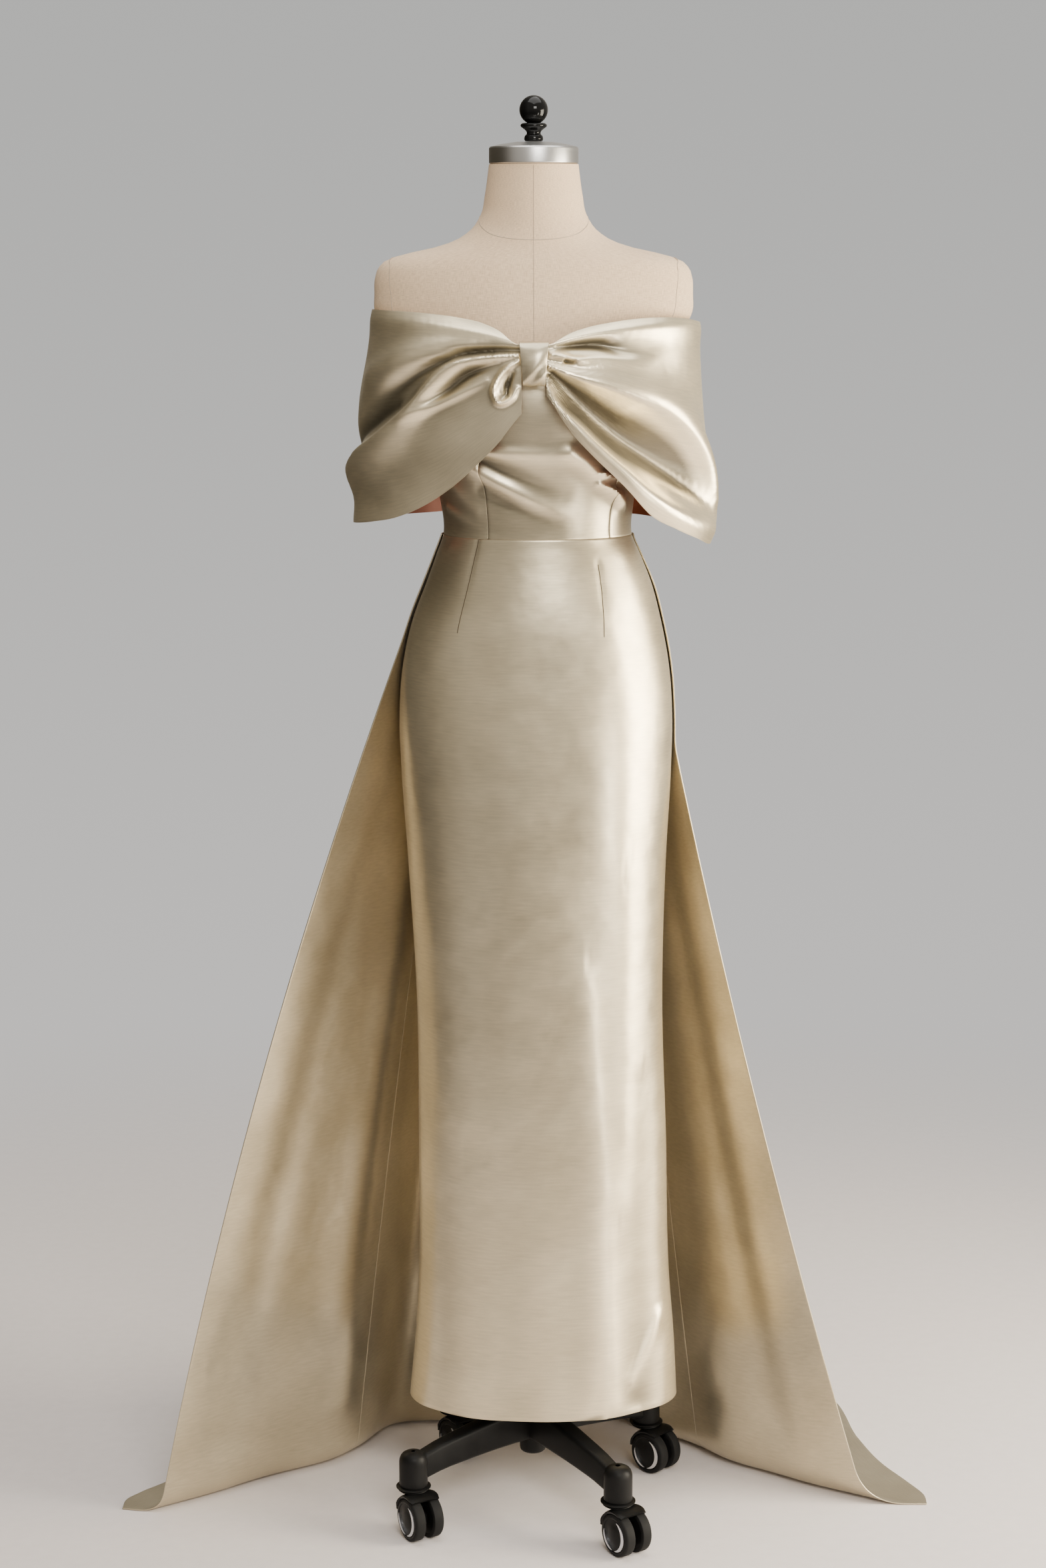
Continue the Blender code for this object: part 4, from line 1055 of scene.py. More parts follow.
@dataclass(frozen=True)
class Capelet(Assembly):
    """The two halves of the capelet, drawn into the bow's knot at the front."""

    edges: tuple[Rows, Rows] = (
        (
            # angle from the knot, top z, bottom z
            (4.0, 1.4559, 1.377), (5.6, 1.4563, 1.37), (7.4, 1.4593, 1.362), (11.0, 1.469, 1.345),
            (18.0, 1.4795, 1.32), (26.0, 1.485, 1.295), (37.0, 1.489, 1.27), (48.0, 1.4912, 1.255),
            (62.0, 1.4922, 1.247), (75.0, 1.4925, 1.243), (90.0, 1.4925, 1.241), (135.0, 1.488, 1.241),
            (180.0, 1.484, 1.242),
        ),
        (
            (4.0, 1.4559, 1.398), (5.6, 1.4563, 1.391), (7.4, 1.4593, 1.38), (11.0, 1.4665, 1.36),
            (18.0, 1.4745, 1.33), (26.0, 1.4795, 1.3), (37.0, 1.4838, 1.259), (48.0, 1.485, 1.241),
            (62.0, 1.4835, 1.227), (75.0, 1.48, 1.218), (90.0, 1.477, 1.22), (135.0, 1.48, 1.236),
            (180.0, 1.484, 1.242),
        ),
    )
    folds: tuple[tuple[Rows, ...], tuple[Rows, ...]] = (
        # a path of angle, z, height, width outwards or above, width inwards or below
        (
            (
                (4.0, 1.4555, 0.002, 0.004, 0.005), (12.0, 1.464, 0.004, 0.005, 0.008),
                (25.0, 1.473, 0.005, 0.006, 0.011), (42.0, 1.479, 0.005, 0.008, 0.013),
                (64.0, 1.482, 0.004, 0.01, 0.014), (92.0, 1.481, 0.001, 0.012, 0.014),
            ),
            (
                (4.0, 1.4495, -0.003, 0.003, 0.003), (12.0, 1.4492, -0.005, 0.004, 0.0035),
                (21.0, 1.448, -0.005, 0.005, 0.004), (31.0, 1.447, -0.001, 0.006, 0.005),
            ),
            (
                (17.0, 1.458, 0.001, 0.006, 0.006), (29.0, 1.456, 0.006, 0.01, 0.012),
                (40.0, 1.449, 0.01, 0.014, 0.018), (51.0, 1.438, 0.012, 0.017, 0.022),
                (57.0, 1.43, 0.011, 0.018, 0.022), (68.0, 1.419, 0.007, 0.018, 0.022),
                (82.0, 1.408, 0.0, 0.018, 0.022),
            ),
            (
                (14.0, 1.446, -0.002, 0.003, 0.003), (28.0, 1.4405, -0.006, 0.005, 0.004),
                (40.0, 1.424, -0.006, 0.008, 0.006), (52.0, 1.4, -0.005, 0.012, 0.009),
                (66.0, 1.378, -0.003, 0.014, 0.012), (82.0, 1.366, 0.0, 0.016, 0.016),
            ),
            (
                (4.0, 1.444, 0.003, 0.003, 0.004), (12.0, 1.443, 0.006, 0.003, 0.006),
                (20.0, 1.4405, 0.008, 0.004, 0.008), (27.0, 1.434, 0.011, 0.005, 0.011),
                (32.0, 1.421, 0.013, 0.006, 0.013), (36.0, 1.403, 0.015, 0.007, 0.012),
                (40.0, 1.387, 0.015, 0.007, 0.014), (48.0, 1.366, 0.014, 0.007, 0.024),
                (60.0, 1.343, 0.014, 0.007, 0.034), (76.0, 1.323, 0.015, 0.008, 0.034),
                (91.0, 1.301, 0.016, 0.009, 0.028), (100.0, 1.29, 0.006, 0.01, 0.028),
            ),
            (
                (13.0, 1.432, -0.002, 0.004, 0.005), (23.0, 1.421, -0.007, 0.006, 0.006),
                (30.0, 1.403, -0.005, 0.006, 0.006), (38.0, 1.386, 0.0, 0.006, 0.006),
            ),
            (
                (16.0, 1.415, 0.002, 0.004, 0.006), (26.0, 1.397, 0.005, 0.005, 0.006),
                (36.0, 1.381, 0.004, 0.005, 0.006), (48.0, 1.367, 0.0, 0.006, 0.009),
            ),
            (
                (5.0, 1.437, 0.002, 0.003, 0.003), (8.5, 1.43, 0.005, 0.003, 0.0028),
                (11.8, 1.415, 0.008, 0.0035, 0.003), (12.6, 1.401, 0.008, 0.004, 0.003),
                (10.6, 1.39, 0.007, 0.004, 0.003), (7.6, 1.394, 0.005, 0.0035, 0.003),
                (5.6, 1.406, 0.002, 0.003, 0.003),
            ),
            (
                (7.2, 1.423, -0.003, 0.0028, 0.0028), (8.8, 1.408, -0.006, 0.0032, 0.0032),
                (9.0, 1.4, -0.004, 0.003, 0.003),
            ),
            (
                (50.0, 1.384, -0.003, 0.009, 0.006), (64.0, 1.362, -0.006, 0.012, 0.007),
                (82.0, 1.342, -0.006, 0.014, 0.008), (96.0, 1.324, -0.002, 0.014, 0.01),
            ),
            ((112.0, 1.47, 0.002, 0.014, 0.014), (106.0, 1.25, 0.007, 0.02, 0.02)),
            ((146.0, 1.47, 0.002, 0.014, 0.014), (152.0, 1.25, 0.006, 0.022, 0.022)),
        ),
        (
            (
                (4.0, 1.4555, 0.002, 0.004, 0.004), (12.0, 1.4625, 0.004, 0.005, 0.006),
                (25.0, 1.4705, 0.005, 0.006, 0.008), (40.0, 1.4755, 0.005, 0.008, 0.011),
                (62.0, 1.475, 0.004, 0.01, 0.014), (88.0, 1.469, 0.002, 0.012, 0.014),
            ),
            (
                (8.0, 1.452, -0.002, 0.003, 0.003), (15.0, 1.454, -0.007, 0.005, 0.004),
                (23.0, 1.454, -0.009, 0.007, 0.005), (33.0, 1.448, -0.003, 0.008, 0.008),
                (45.0, 1.443, 0.0, 0.009, 0.01),
            ),
            (
                (4.0, 1.443, 0.003, 0.004, 0.004), (8.0, 1.444, 0.008, 0.004, 0.005),
                (12.0, 1.44, 0.009, 0.004, 0.005), (20.0, 1.44, 0.005, 0.004, 0.01),
                (34.0, 1.437, 0.003, 0.007, 0.016), (50.0, 1.434, 0.0, 0.01, 0.018),
            ),
            ((10.6, 1.4375, -0.008, 0.0024, 0.0024), (12.8, 1.4365, -0.007, 0.0024, 0.0024)),
            (
                (4.0, 1.433, 0.004, 0.005, 0.003), (13.0, 1.42, 0.01, 0.012, 0.006),
                (25.0, 1.408, 0.014, 0.02, 0.01), (34.0, 1.3975, 0.016, 0.026, 0.013),
                (44.0, 1.385, 0.017, 0.03, 0.015), (57.0, 1.36, 0.017, 0.032, 0.016),
                (67.0, 1.334, 0.015, 0.028, 0.016), (75.0, 1.304, 0.011, 0.022, 0.014),
                (80.0, 1.274, 0.006, 0.016, 0.012),
            ),
            (
                (6.0, 1.423, -0.006, 0.004, 0.005), (13.0, 1.401, -0.013, 0.009, 0.012),
                (24.0, 1.369, -0.021, 0.017, 0.018), (34.0, 1.346, -0.025, 0.023, 0.021),
                (45.0, 1.325, -0.025, 0.027, 0.022), (56.0, 1.304, -0.021, 0.027, 0.021),
                (66.0, 1.283, -0.012, 0.021, 0.018), (74.0, 1.266, -0.004, 0.014, 0.014),
            ),
            (
                (4.4, 1.408, 0.004, 0.004, 0.006), (8.0, 1.385, 0.008, 0.005, 0.009),
                (14.0, 1.362, 0.012, 0.008, 0.012), (20.0, 1.338, 0.014, 0.011, 0.014),
                (27.0, 1.312, 0.015, 0.013, 0.016), (35.0, 1.284, 0.015, 0.014, 0.018),
                (44.0, 1.264, 0.013, 0.014, 0.018), (57.0, 1.247, 0.009, 0.014, 0.018),
                (76.0, 1.234, 0.005, 0.014, 0.018),
            ),
            ((108.0, 1.47, 0.002, 0.014, 0.014), (104.0, 1.235, 0.006, 0.02, 0.02)),
            ((150.0, 1.47, 0.002, 0.014, 0.014), (146.0, 1.25, 0.007, 0.022, 0.022)),
        ),
    )
    # painted shade: paths along which the satin's colour is darkened, in the hollows under the bow's ridges
    shades: tuple[tuple[Rows, ...], tuple[Rows, ...]] = (
        (
            (
                (-30.0, 1.438, -0.3, 0.004, 0.005), (-46.0, 1.408, -0.5, 0.01, 0.012),
                (-66.0, 1.38, -0.6, 0.018, 0.018), (-88.0, 1.36, -0.5, 0.026, 0.022),
            ),
        ),
        (
            (
                (8.0, 1.42, -0.4, 0.004, 0.005), (14.0, 1.402, -0.7, 0.009, 0.012),
                (24.0, 1.376, -0.8, 0.018, 0.018), (34.0, 1.352, -0.9, 0.024, 0.022),
                (45.0, 1.331, -0.9, 0.028, 0.024), (56.0, 1.308, -0.9, 0.03, 0.024),
                (66.0, 1.286, -0.7, 0.024, 0.02), (73.0, 1.268, -0.3, 0.016, 0.016),
            ),
        ),
    )
    columns: int = 200
    rows: int = 110
    crowding: float = 1.35
    back_radius: float = 0.13
    # how far the cloth is smoothed for the painted shade and highlight, and the depth that counts as 1
    fold_scales: Rows = ((220, 0.0050), (1000, 0.0130))
    weave_size: Pair = (0.56, 0.25)
    flat_size: Pair = (0.60, 0.26)
    flat_area: float = 0.135

    def surface(self, side: int, across: Array, down: Array) -> Array:
        """The outside of one half.

        Args:
            side: -1 for the left half, 1 for the right.
            across: places from the knot round to the back.
            down: places from the upper edge to the hem.

        Returns:
            The points.
        """
        edges, folds = self.edges[side > 0], self.folds[side > 0]
        first, last = edges[0][0], 180.0 - math.degrees(SEAM_GAP / 2 / self.back_radius)
        angle = first + (last - first) * across**self.crowding
        ends = smooth_table(edges, angle)
        z = ends[..., 0] + (ends[..., 1] - ends[..., 0]) * down
        raised = sum(fold_along(path, angle, z) for path in folds)
        return around(CAPE, side * angle, z, raised)

    def build(self) -> None:
        """Makes both halves."""
        for node, side in (("cape_left", -1), ("cape_right", 1)):
            surface = partial(self.surface, side)
            work = self.shop.sheet(surface, self.columns, self.rows, self.weave_size, flip=side < 0)
            self.shop.mark_folds(work, self.columns, self.fold_scales, self.shades[side > 0])
            made = self.shop.cloth(node, work, Held.GATHERED, self.flat_size, self.flat_area, ("form_torso",))
            # the inside of the wall takes the dark painted shade colour
            made.data.materials.append(self.shop.wardrobe.inside_shade)
            made.modifiers["wall"].material_offset = 1


@dataclass(frozen=True)
class Knot(Assembly):
    """The band wound round the bow's gathered centre."""

    centre: Triple = (0.0, -0.1370, 1.4340)
    half_top: float = 0.0170
    half_bottom: float = 0.0126
    height: float = 0.0253
    depth: float = 0.0160
    wrap: Pair = (104.0, -80.0)
    rounding: float = 0.30
    gathers: Rows = (
        # height, turns across, turns down
        (0.0009, 1.7, 6.5), (0.0004, 1.1, -1.5),
    )
    flat_size: Pair = (0.034, 0.066)
    grid: tuple[int, int] = (48, 72)

    def surface(self, across: Array, down: Array) -> Array:
        """The band's outside, with its gathers.

        Args:
            across: 0 at the band's left edge to 1 at its right one.
            down: 0 behind its top to 1 behind its foot.

        Returns:
            The points.
        """
        side = across * 2 - 1
        wrap = np.radians(self.wrap[0] + (self.wrap[1] - self.wrap[0]) * down)
        middle = (self.half_top + self.half_bottom) / 2
        half = middle + (self.half_top - self.half_bottom) / 2 * np.sin(wrap)
        barrel = 1.0 - self.rounding * side**2 * np.cos(wrap) ** 2
        low = ease_in((down - 0.45) / 0.3)
        crease = sum(
            size * share * np.cos((side * beside + down * along) * math.pi)
            for share, (size, beside, along) in zip((low, 1 - low), self.gathers)
        )
        out = (self.depth * barrel + crease) * np.cos(wrap)
        rise = (self.height + crease * 0.5) * np.sin(wrap)
        return np.stack([half * side, self.centre[1] - out, self.centre[2] + rise], axis=-1)

    def build(self) -> None:
        """Makes the band."""
        work = self.shop.sheet(self.surface, *self.grid, self.flat_size)
        self.shop.cloth("bow_knot", work, Held.FOLDED, self.flat_size, rests_on=("cape_left", "cape_right"))


@dataclass(frozen=True)
class Train(Assembly):
    """Four gores, from the waist seam down to the floor and out over it."""

    start: float = 95.0
    end: float = 267.0
    ease: float = 0.0004
    hip_ease: float = 0.0026
    hip_softness: float = 0.014
    hip_drop: float = 0.08
    bow_left: float = 0.33
    bow_right: float = -0.21
    bend_share: float = 0.9
    floor: Rows = (
        # along, x, y where the wall meets the floor, x, y of the hem, bend
        (0.0, -0.468, -0.046, -0.517, -0.036, 0.03), (0.02, -0.448, -0.033, -0.516, -0.012, 0.03),
        (0.05, -0.417, -0.012, -0.5, 0.014, 0.03), (0.1, -0.366, 0.022, -0.464, 0.058, 0.032),
        (0.17, -0.297, 0.074, -0.446, 0.15, 0.035), (0.26, -0.226, 0.136, -0.425, 0.33, 0.04),
        (0.38, -0.138, 0.214, -0.28, 0.58, 0.046), (0.5, 0.002, 0.252, 0.0, 0.72, 0.05),
        (0.62, 0.134, 0.218, 0.28, 0.58, 0.046), (0.74, 0.214, 0.142, 0.41, 0.34, 0.04),
        (0.84, 0.277, 0.076, 0.434, 0.19, 0.036), (0.91, 0.334, 0.03, 0.458, 0.1, 0.038),
        (0.95, 0.372, 0.006, 0.482, 0.046, 0.044), (0.98, 0.402, -0.012, 0.498, 0.004, 0.05),
        (1.0, 0.42, -0.022, 0.498, -0.022, 0.054),
    )
    cones: Rows = (
        # along, half-width, reach at the floor
        (0.13, 0.05, 0.006), (0.215, 0.045, -0.008), (0.34, 0.05, 0.022), (0.44, 0.05, -0.012),
        (0.55, 0.05, 0.024), (0.66, 0.045, -0.012), (0.79, 0.05, -0.005), (0.88, 0.045, 0.004),
    )
    gores: Sequence[tuple[str, float, float, float, float, float]] = (
        # node, start, end along the train, flat width, length and area
        ("train_side_left", 0.00, 0.25, 0.42, 1.45, 0.30),
        ("train_back_left", 0.25, 0.50, 0.62, 1.75, 0.54),
        ("train_back_right", 0.50, 0.75, 0.62, 1.75, 0.52),
        ("train_side_right", 0.75, 1.00, 0.40, 1.40, 0.27),
    )
    folds: FoldField = FoldField(
        rows=(
            (0.1, 0.9, 0.07, 0.08, 0.004, 0.001, 0.005, 0.03, 0.03),
            (0.21, 0.8, 0.2, 0.08, 0.0, -0.001, -0.004, 0.03, 0.03),
            (0.88, 0.8, 0.9, 0.08, 0.003, 0.001, 0.004, 0.03, 0.03),
        ),
        radius=180.0 / math.pi,
    )
    columns: int = 70
    rows: int = 180
    stand_end: float = 0.72
    bend_end: float = 0.84
    crowding: float = 1.15
    relief_starts: Pair = (0.03, 0.05)
    relief_ends: Pair = (0.95, 0.2)

    def inside(self, along: Array, rows: Array) -> Array:
        """Finds points of the train's inside.

        Args:
            along: 0 at the left front edge to 1 at the right one.
            rows: 0 at the waist, 1 above the floor, 2 past the bend, 3 at the hem.

        Returns:
            The points.
        """
        floor = smooth_table(self.floor, along)
        foot, hem, bend = floor[..., 0:2], floor[..., 2:4], floor[..., 4:5]
        reach = sum(size * np.exp(-(((along - place) / width) ** 2)) for place, width, size in self.cones)
        spread = unit(hem - foot)
        foot = foot + spread * reach[..., None]
        angle = self.end + (self.start - self.end) * along
        bow = self.bow_left + (self.bow_right - self.bow_left) * along
        top = WAIST_Z - self.ease
        waist = around(GOWN, angle, np.full_like(along, top), self.ease)[..., 0:2]

        def standing(z: Array) -> Array:
            """Hangs the cloth, pushed out by the gown under it.

            Args:
                z: heights.

            Returns:
                The points.
            """
            fall = (top - z) / top
            blend = (fall + bow * fall * (1 - fall))[..., None]
            level = waist * (1 - blend) + foot * blend
            ease = self.ease + (self.hip_ease - self.ease) * ease_in((top - z) / self.hip_drop)
            reach = smooth_table(GOWN, np.clip(z, HEM_Z, top)) + ease[..., None]
            side = np.where(level[..., 0] > 0, reach[..., 1], reach[..., 0])
            depth = np.where(level[..., 1] < 0, reach[..., 2], reach[..., 3])
            part = np.hypot(level[..., 0] / side, level[..., 1] / depth)
            pushed = (part + 1 + np.sqrt((part - 1) ** 2 + self.hip_softness**2)) / 2
            return np.concatenate([level * (pushed / part)[..., None], z[..., None]], axis=-1)

        bend_z = bend[..., 0] * self.bend_share
        stand = standing(top + (bend_z - top) * np.clip(rows, 0.0, 1.0))
        turn = np.clip(rows - 1, 0.0, 1.0)[..., None]
        level = np.concatenate([foot + spread * bend, 0.0 * bend], axis=-1)
        corner = standing(0.0 * along)
        bent = standing(bend_z) * (1 - turn) ** 2 + corner * 2 * turn * (1 - turn) + level * turn**2
        lying = np.clip(rows - 2, 0.0, 1.0)[..., None]
        flat = level * (1 - lying) + np.concatenate([hem, 0.0 * bend], axis=-1) * lying
        chosen = np.where(rows[..., None] <= 1, stand, np.where(rows[..., None] <= 2, bent, flat))
        chosen[..., 2] = np.where(rows >= 2, 0.0, chosen[..., 2])
        return chosen

    def surface(self, start: float, end: float, across: Array, down: Array) -> Array:
        """The inside of one gore.

        Args:
            start: where it starts along the train.
            end: where it ends.
            across: places from its start to its end.
            down: places from the waist seam to the hem.

        Returns:
            The points.
        """
        stand, bend = self.stand_end, self.bend_end
        rows = np.where(down < stand, (down / stand) ** self.crowding, 1 + (down - stand) / (bend - stand))
        rows = np.where(down > bend, 2 + (down - bend) / (1 - bend), rows)
        return self.inside(start + (end - start) * across, rows)

    def relief(self, work: Mesh, start: float, end: float) -> None:
        """Raises the soft folds along the cloth's own normals, where it stands clear of the floor.

        Args:
            work: a gore's grid.
            start: where it starts along the train.
            end: where it ends.
        """
        work.normal_update()
        z = np.array([vertex.co.z for vertex in work.verts])
        along = start + (end - start) * (np.arange(len(z)) % (self.columns + 1)) / self.columns
        (low, low_ease), (high, high_ease) = self.relief_starts, self.relief_ends
        free = ease_in((z - low) / low_ease) * ease_in((high - z) / high_ease)
        for vertex, raised in zip(work.verts, self.folds.height(along, z) * free):
            vertex.co += vertex.normal * float(raised)

    def build(self) -> None:
        """Makes the gores."""
        for node, start, end, width, length, area in self.gores:
            surface = partial(self.surface, start, end)
            work = self.shop.sheet(surface, self.columns, self.rows, (width, length), flip=True)
            self.relief(work, start, end)
            self.shop.cloth(node, work, Held.DRAPED, (width, length), area, ("skirt_front",), 1.0)


@dataclass(frozen=True)
class DressForm(Assembly):
    """The padded torso in its linen cover, with its sewn seams, neck cap and finial."""

    bottom: float = 0.860
    top: float = 1.660
    ease: float = 0.0028
    ease_waist: float = 0.0007
    ease_spread: float = 0.016
    seam_radius: float = 0.0006
    seam_sink: float = 0.35  # the share of the thread's radius that lies in the cloth
    neck_seam: Rows = (
        # angle, z
        (-180.0, 1.6), (-135.0, 1.602), (-90.0, 1.6), (-60.0, 1.588), (-30.0, 1.577), (0.0, 1.573), (30.0, 1.577),
        (60.0, 1.588), (90.0, 1.6), (135.0, 1.602), (180.0, 1.6),
    )
    arm_seam: Rows = (
        # step, angle, z
        (0.0, 57.0, 1.43), (1.0, 59.0, 1.455), (2.0, 60.0, 1.475), (3.0, 62.0, 1.505), (4.0, 64.5, 1.53),
        (5.0, 70.0, 1.545), (6.0, 90.0, 1.5525), (7.0, 110.0, 1.545), (8.0, 116.0, 1.53), (9.0, 119.0, 1.505),
        (10.0, 121.0, 1.475), (11.0, 122.0, 1.43),
    )
    cap: Rows = (
        # radius, z
        (0.0, 1.6603), (0.051, 1.6603), (0.0525, 1.6618), (0.0525, 1.6785), (0.0512, 1.6803), (0.04, 1.683),
        (0.022, 1.6856), (0.0, 1.6862),
    )
    finial: Rows = (
        # radius, z
        (0.0, 1.6865), (0.0096, 1.6865), (0.0108, 1.6874), (0.0112, 1.689), (0.011, 1.6912), (0.0103, 1.693),
        (0.0085, 1.6944), (0.0082, 1.696), (0.0086, 1.6976), (0.0104, 1.6996), (0.0132, 1.7016), (0.0152, 1.7032),
        (0.0157, 1.7046), (0.0151, 1.706), (0.0136, 1.7072),
    )
    ball_radius: float = 0.0168
    ball_z: float = 1.7225
    flat_size: Pair = (0.95, 0.80)
    grid: tuple[int, int] = (160, 150)
    centre_seam: Pair = (1.415, 1.658)

    def sections(self) -> Rows:
        """The form's own sections, from the gown's below the bust and its table above.

        Returns:
            The table of z, left, right, front and back.
        """
        low = np.array([0.86, 0.90, 0.95, 1.008, 1.065, 1.125, 1.17, 1.2, WAIST_Z, 1.26, 1.3, 1.34, 1.385])
        near = np.exp(-(((low[:, None] - WAIST_Z) / self.ease_spread) ** 2))
        inside = smooth_table(GOWN, low) - WALL - self.ease + (self.ease - self.ease_waist) * near
        inside = inside[:, (0, 0, 2, 3)]
        return tuple(np.concatenate([np.column_stack([low, inside]), np.array(FORM_ABOVE)]).tolist())

    def skin(self, across: Array, down: Array) -> Array:
        """The torso's points, round from the centre back and from its top down."""
        return around(self.sections(), across * 360.0 - 180.0, self.top + (self.bottom - self.top) * down)

    def torso(self) -> None:
        """Makes the torso as one closed skin."""
        work = self.shop.sheet(self.skin, *self.grid, self.flat_size)
        bmesh.ops.remove_doubles(work, verts=work.verts, dist=1e-5)
        bmesh.ops.holes_fill(work, edges=work.edges)
        self.shop.piece("form_linen", work, Slot.LINEN, replaces=("form_torso",))

    def seams(self) -> None:
        """Sews the seams that show: neck, centre front and back, and both arm plates."""
        turns = np.linspace(-179.5, 179.5, 121)
        paths = [np.column_stack([turns, smooth_table(self.neck_seam, turns)[:, 0]])]
        rise = np.linspace(*self.centre_seam, 50)
        paths += [np.column_stack([np.full(50, angle), rise]) for angle in (0.0, 180.0)]
        arm = smooth_table(self.arm_seam, np.linspace(0.0, self.arm_seam[-1][0], 70))
        paths += [arm, arm * np.array([-1.0, 1.0])]
        sections, radius = self.sections(), self.seam_radius
        lines = (around(sections, path[:, 0], path[:, 1], -radius * self.seam_sink) for path in paths)
        cords = (self.shop.cord(line, radius) for line in lines)
        self.shop.piece("form_seams", self.shop.join(cords), Slot.LINEN, finish=self.shop.wardrobe.thread)

    def build(self) -> None:
        """Makes the torso, its seams, the cap and the finial."""
        self.torso()
        self.seams()
        cap = self.shop.piece("neck_plate", self.shop.turned(self.cap, 120), Slot.SILVER, replaces=("neck_cap",))
        rim = cap.modifiers.new("rim", "BEVEL")
        rim.width, rim.segments = 0.0004, 2
        radius, ball_z = self.ball_radius, self.ball_z
        turns = np.radians(np.linspace(-62.0, 90.0, 20))
        ball = [(radius * math.cos(turn), ball_z + radius * math.sin(turn)) for turn in turns]
        ball[-1] = (0.0, ball[-1][1])
        knob = self.shop.turned(tuple(self.finial) + tuple(ball), 56)
        self.shop.piece("turned_finial", knob, Slot.GLOSS, replaces=("finial",), sharp=60.0)


@dataclass(frozen=True)
class Stand(Assembly):
    """The cast base with its hub, four arms and domed sockets."""

    turns: Sequence[float] = (215.0, 305.0, 35.0, 125.0)
    reach: float = 0.180
    stations: Rows = (
        # along, half-width, bottom z, top z
        (0.004, 0.015, 0.0862, 0.129), (0.06, 0.0145, 0.084, 0.124), (0.11, 0.0135, 0.0798, 0.1155),
        (0.145, 0.0125, 0.0752, 0.1085), (0.174, 0.0115, 0.068, 0.1),
    )
    hub: Rows = (
        # radius, z
        (0.0, 0.064), (0.0105, 0.064), (0.014, 0.0652), (0.0158, 0.067), (0.0165, 0.07), (0.0165, 0.13),
        (0.0155, 0.132), (0.0, 0.132),
    )
    socket: Rows = (
        # radius, z
        (0.0058, 0.064), (0.015, 0.064), (0.016, 0.0626), (0.0174, 0.0626), (0.0178, 0.064), (0.0176, 0.07),
        (0.0176, 0.093), (0.0171, 0.0968), (0.0158, 0.1003), (0.0136, 0.1031), (0.0104, 0.105), (0.006, 0.106),
        (0.0, 0.1062),
    )
    cuts: int = 11
    narrowing: float = 0.0015
    edge: float = 0.005

    def arm(self, turn: float) -> Mesh:
        """One arm: a box divided along its length, shaped by its stations and rounded on its long edges.

        Args:
            turn: the arm's turn about the pole, in degrees.

        Returns:
            The mesh.
        """
        work = self.shop.block((1.0, 1.0, 1.0))
        long_edges = [edge for edge in work.edges if abs(edge.verts[0].co.x - edge.verts[1].co.x) > 0.5]
        bmesh.ops.subdivide_edges(work, edges=long_edges, cuts=self.cuts, use_grid_fill=True)
        first, last = self.stations[0][0], self.stations[-1][0]
        for vertex in work.verts:
            along = first + (vertex.co.x + 0.5) * (last - first)
            half, bottom, top = smooth_table(self.stations, np.array(along))
            side, high = math.copysign(1.0, vertex.co.y), vertex.co.z > 0
            vertex.co = (along, side * (half - high * self.narrowing), top if high else bottom)
        edges = [edge for edge in work.edges if edge.calc_face_angle(0.0) > 1.0]
        self.shop.soften(work, edges, self.edge, 4, clamp=True)
        return self.shop.place(work, Vector(), turn)

    def build(self) -> None:
        """Makes the base, and finishes the pole."""
        parts = [self.shop.turned(self.hub, 48)]
        for turn in self.turns:
            parts.append(self.arm(turn))
            parts.append(self.shop.place(self.shop.turned(self.socket, 40), polar(turn, self.reach)))
        self.shop.piece("cast_base", self.shop.join(parts), Slot.CAST, replaces=("stand_base",), sharp=55.0)
        self.shop.dress("stand_pole", Slot.SILVER)


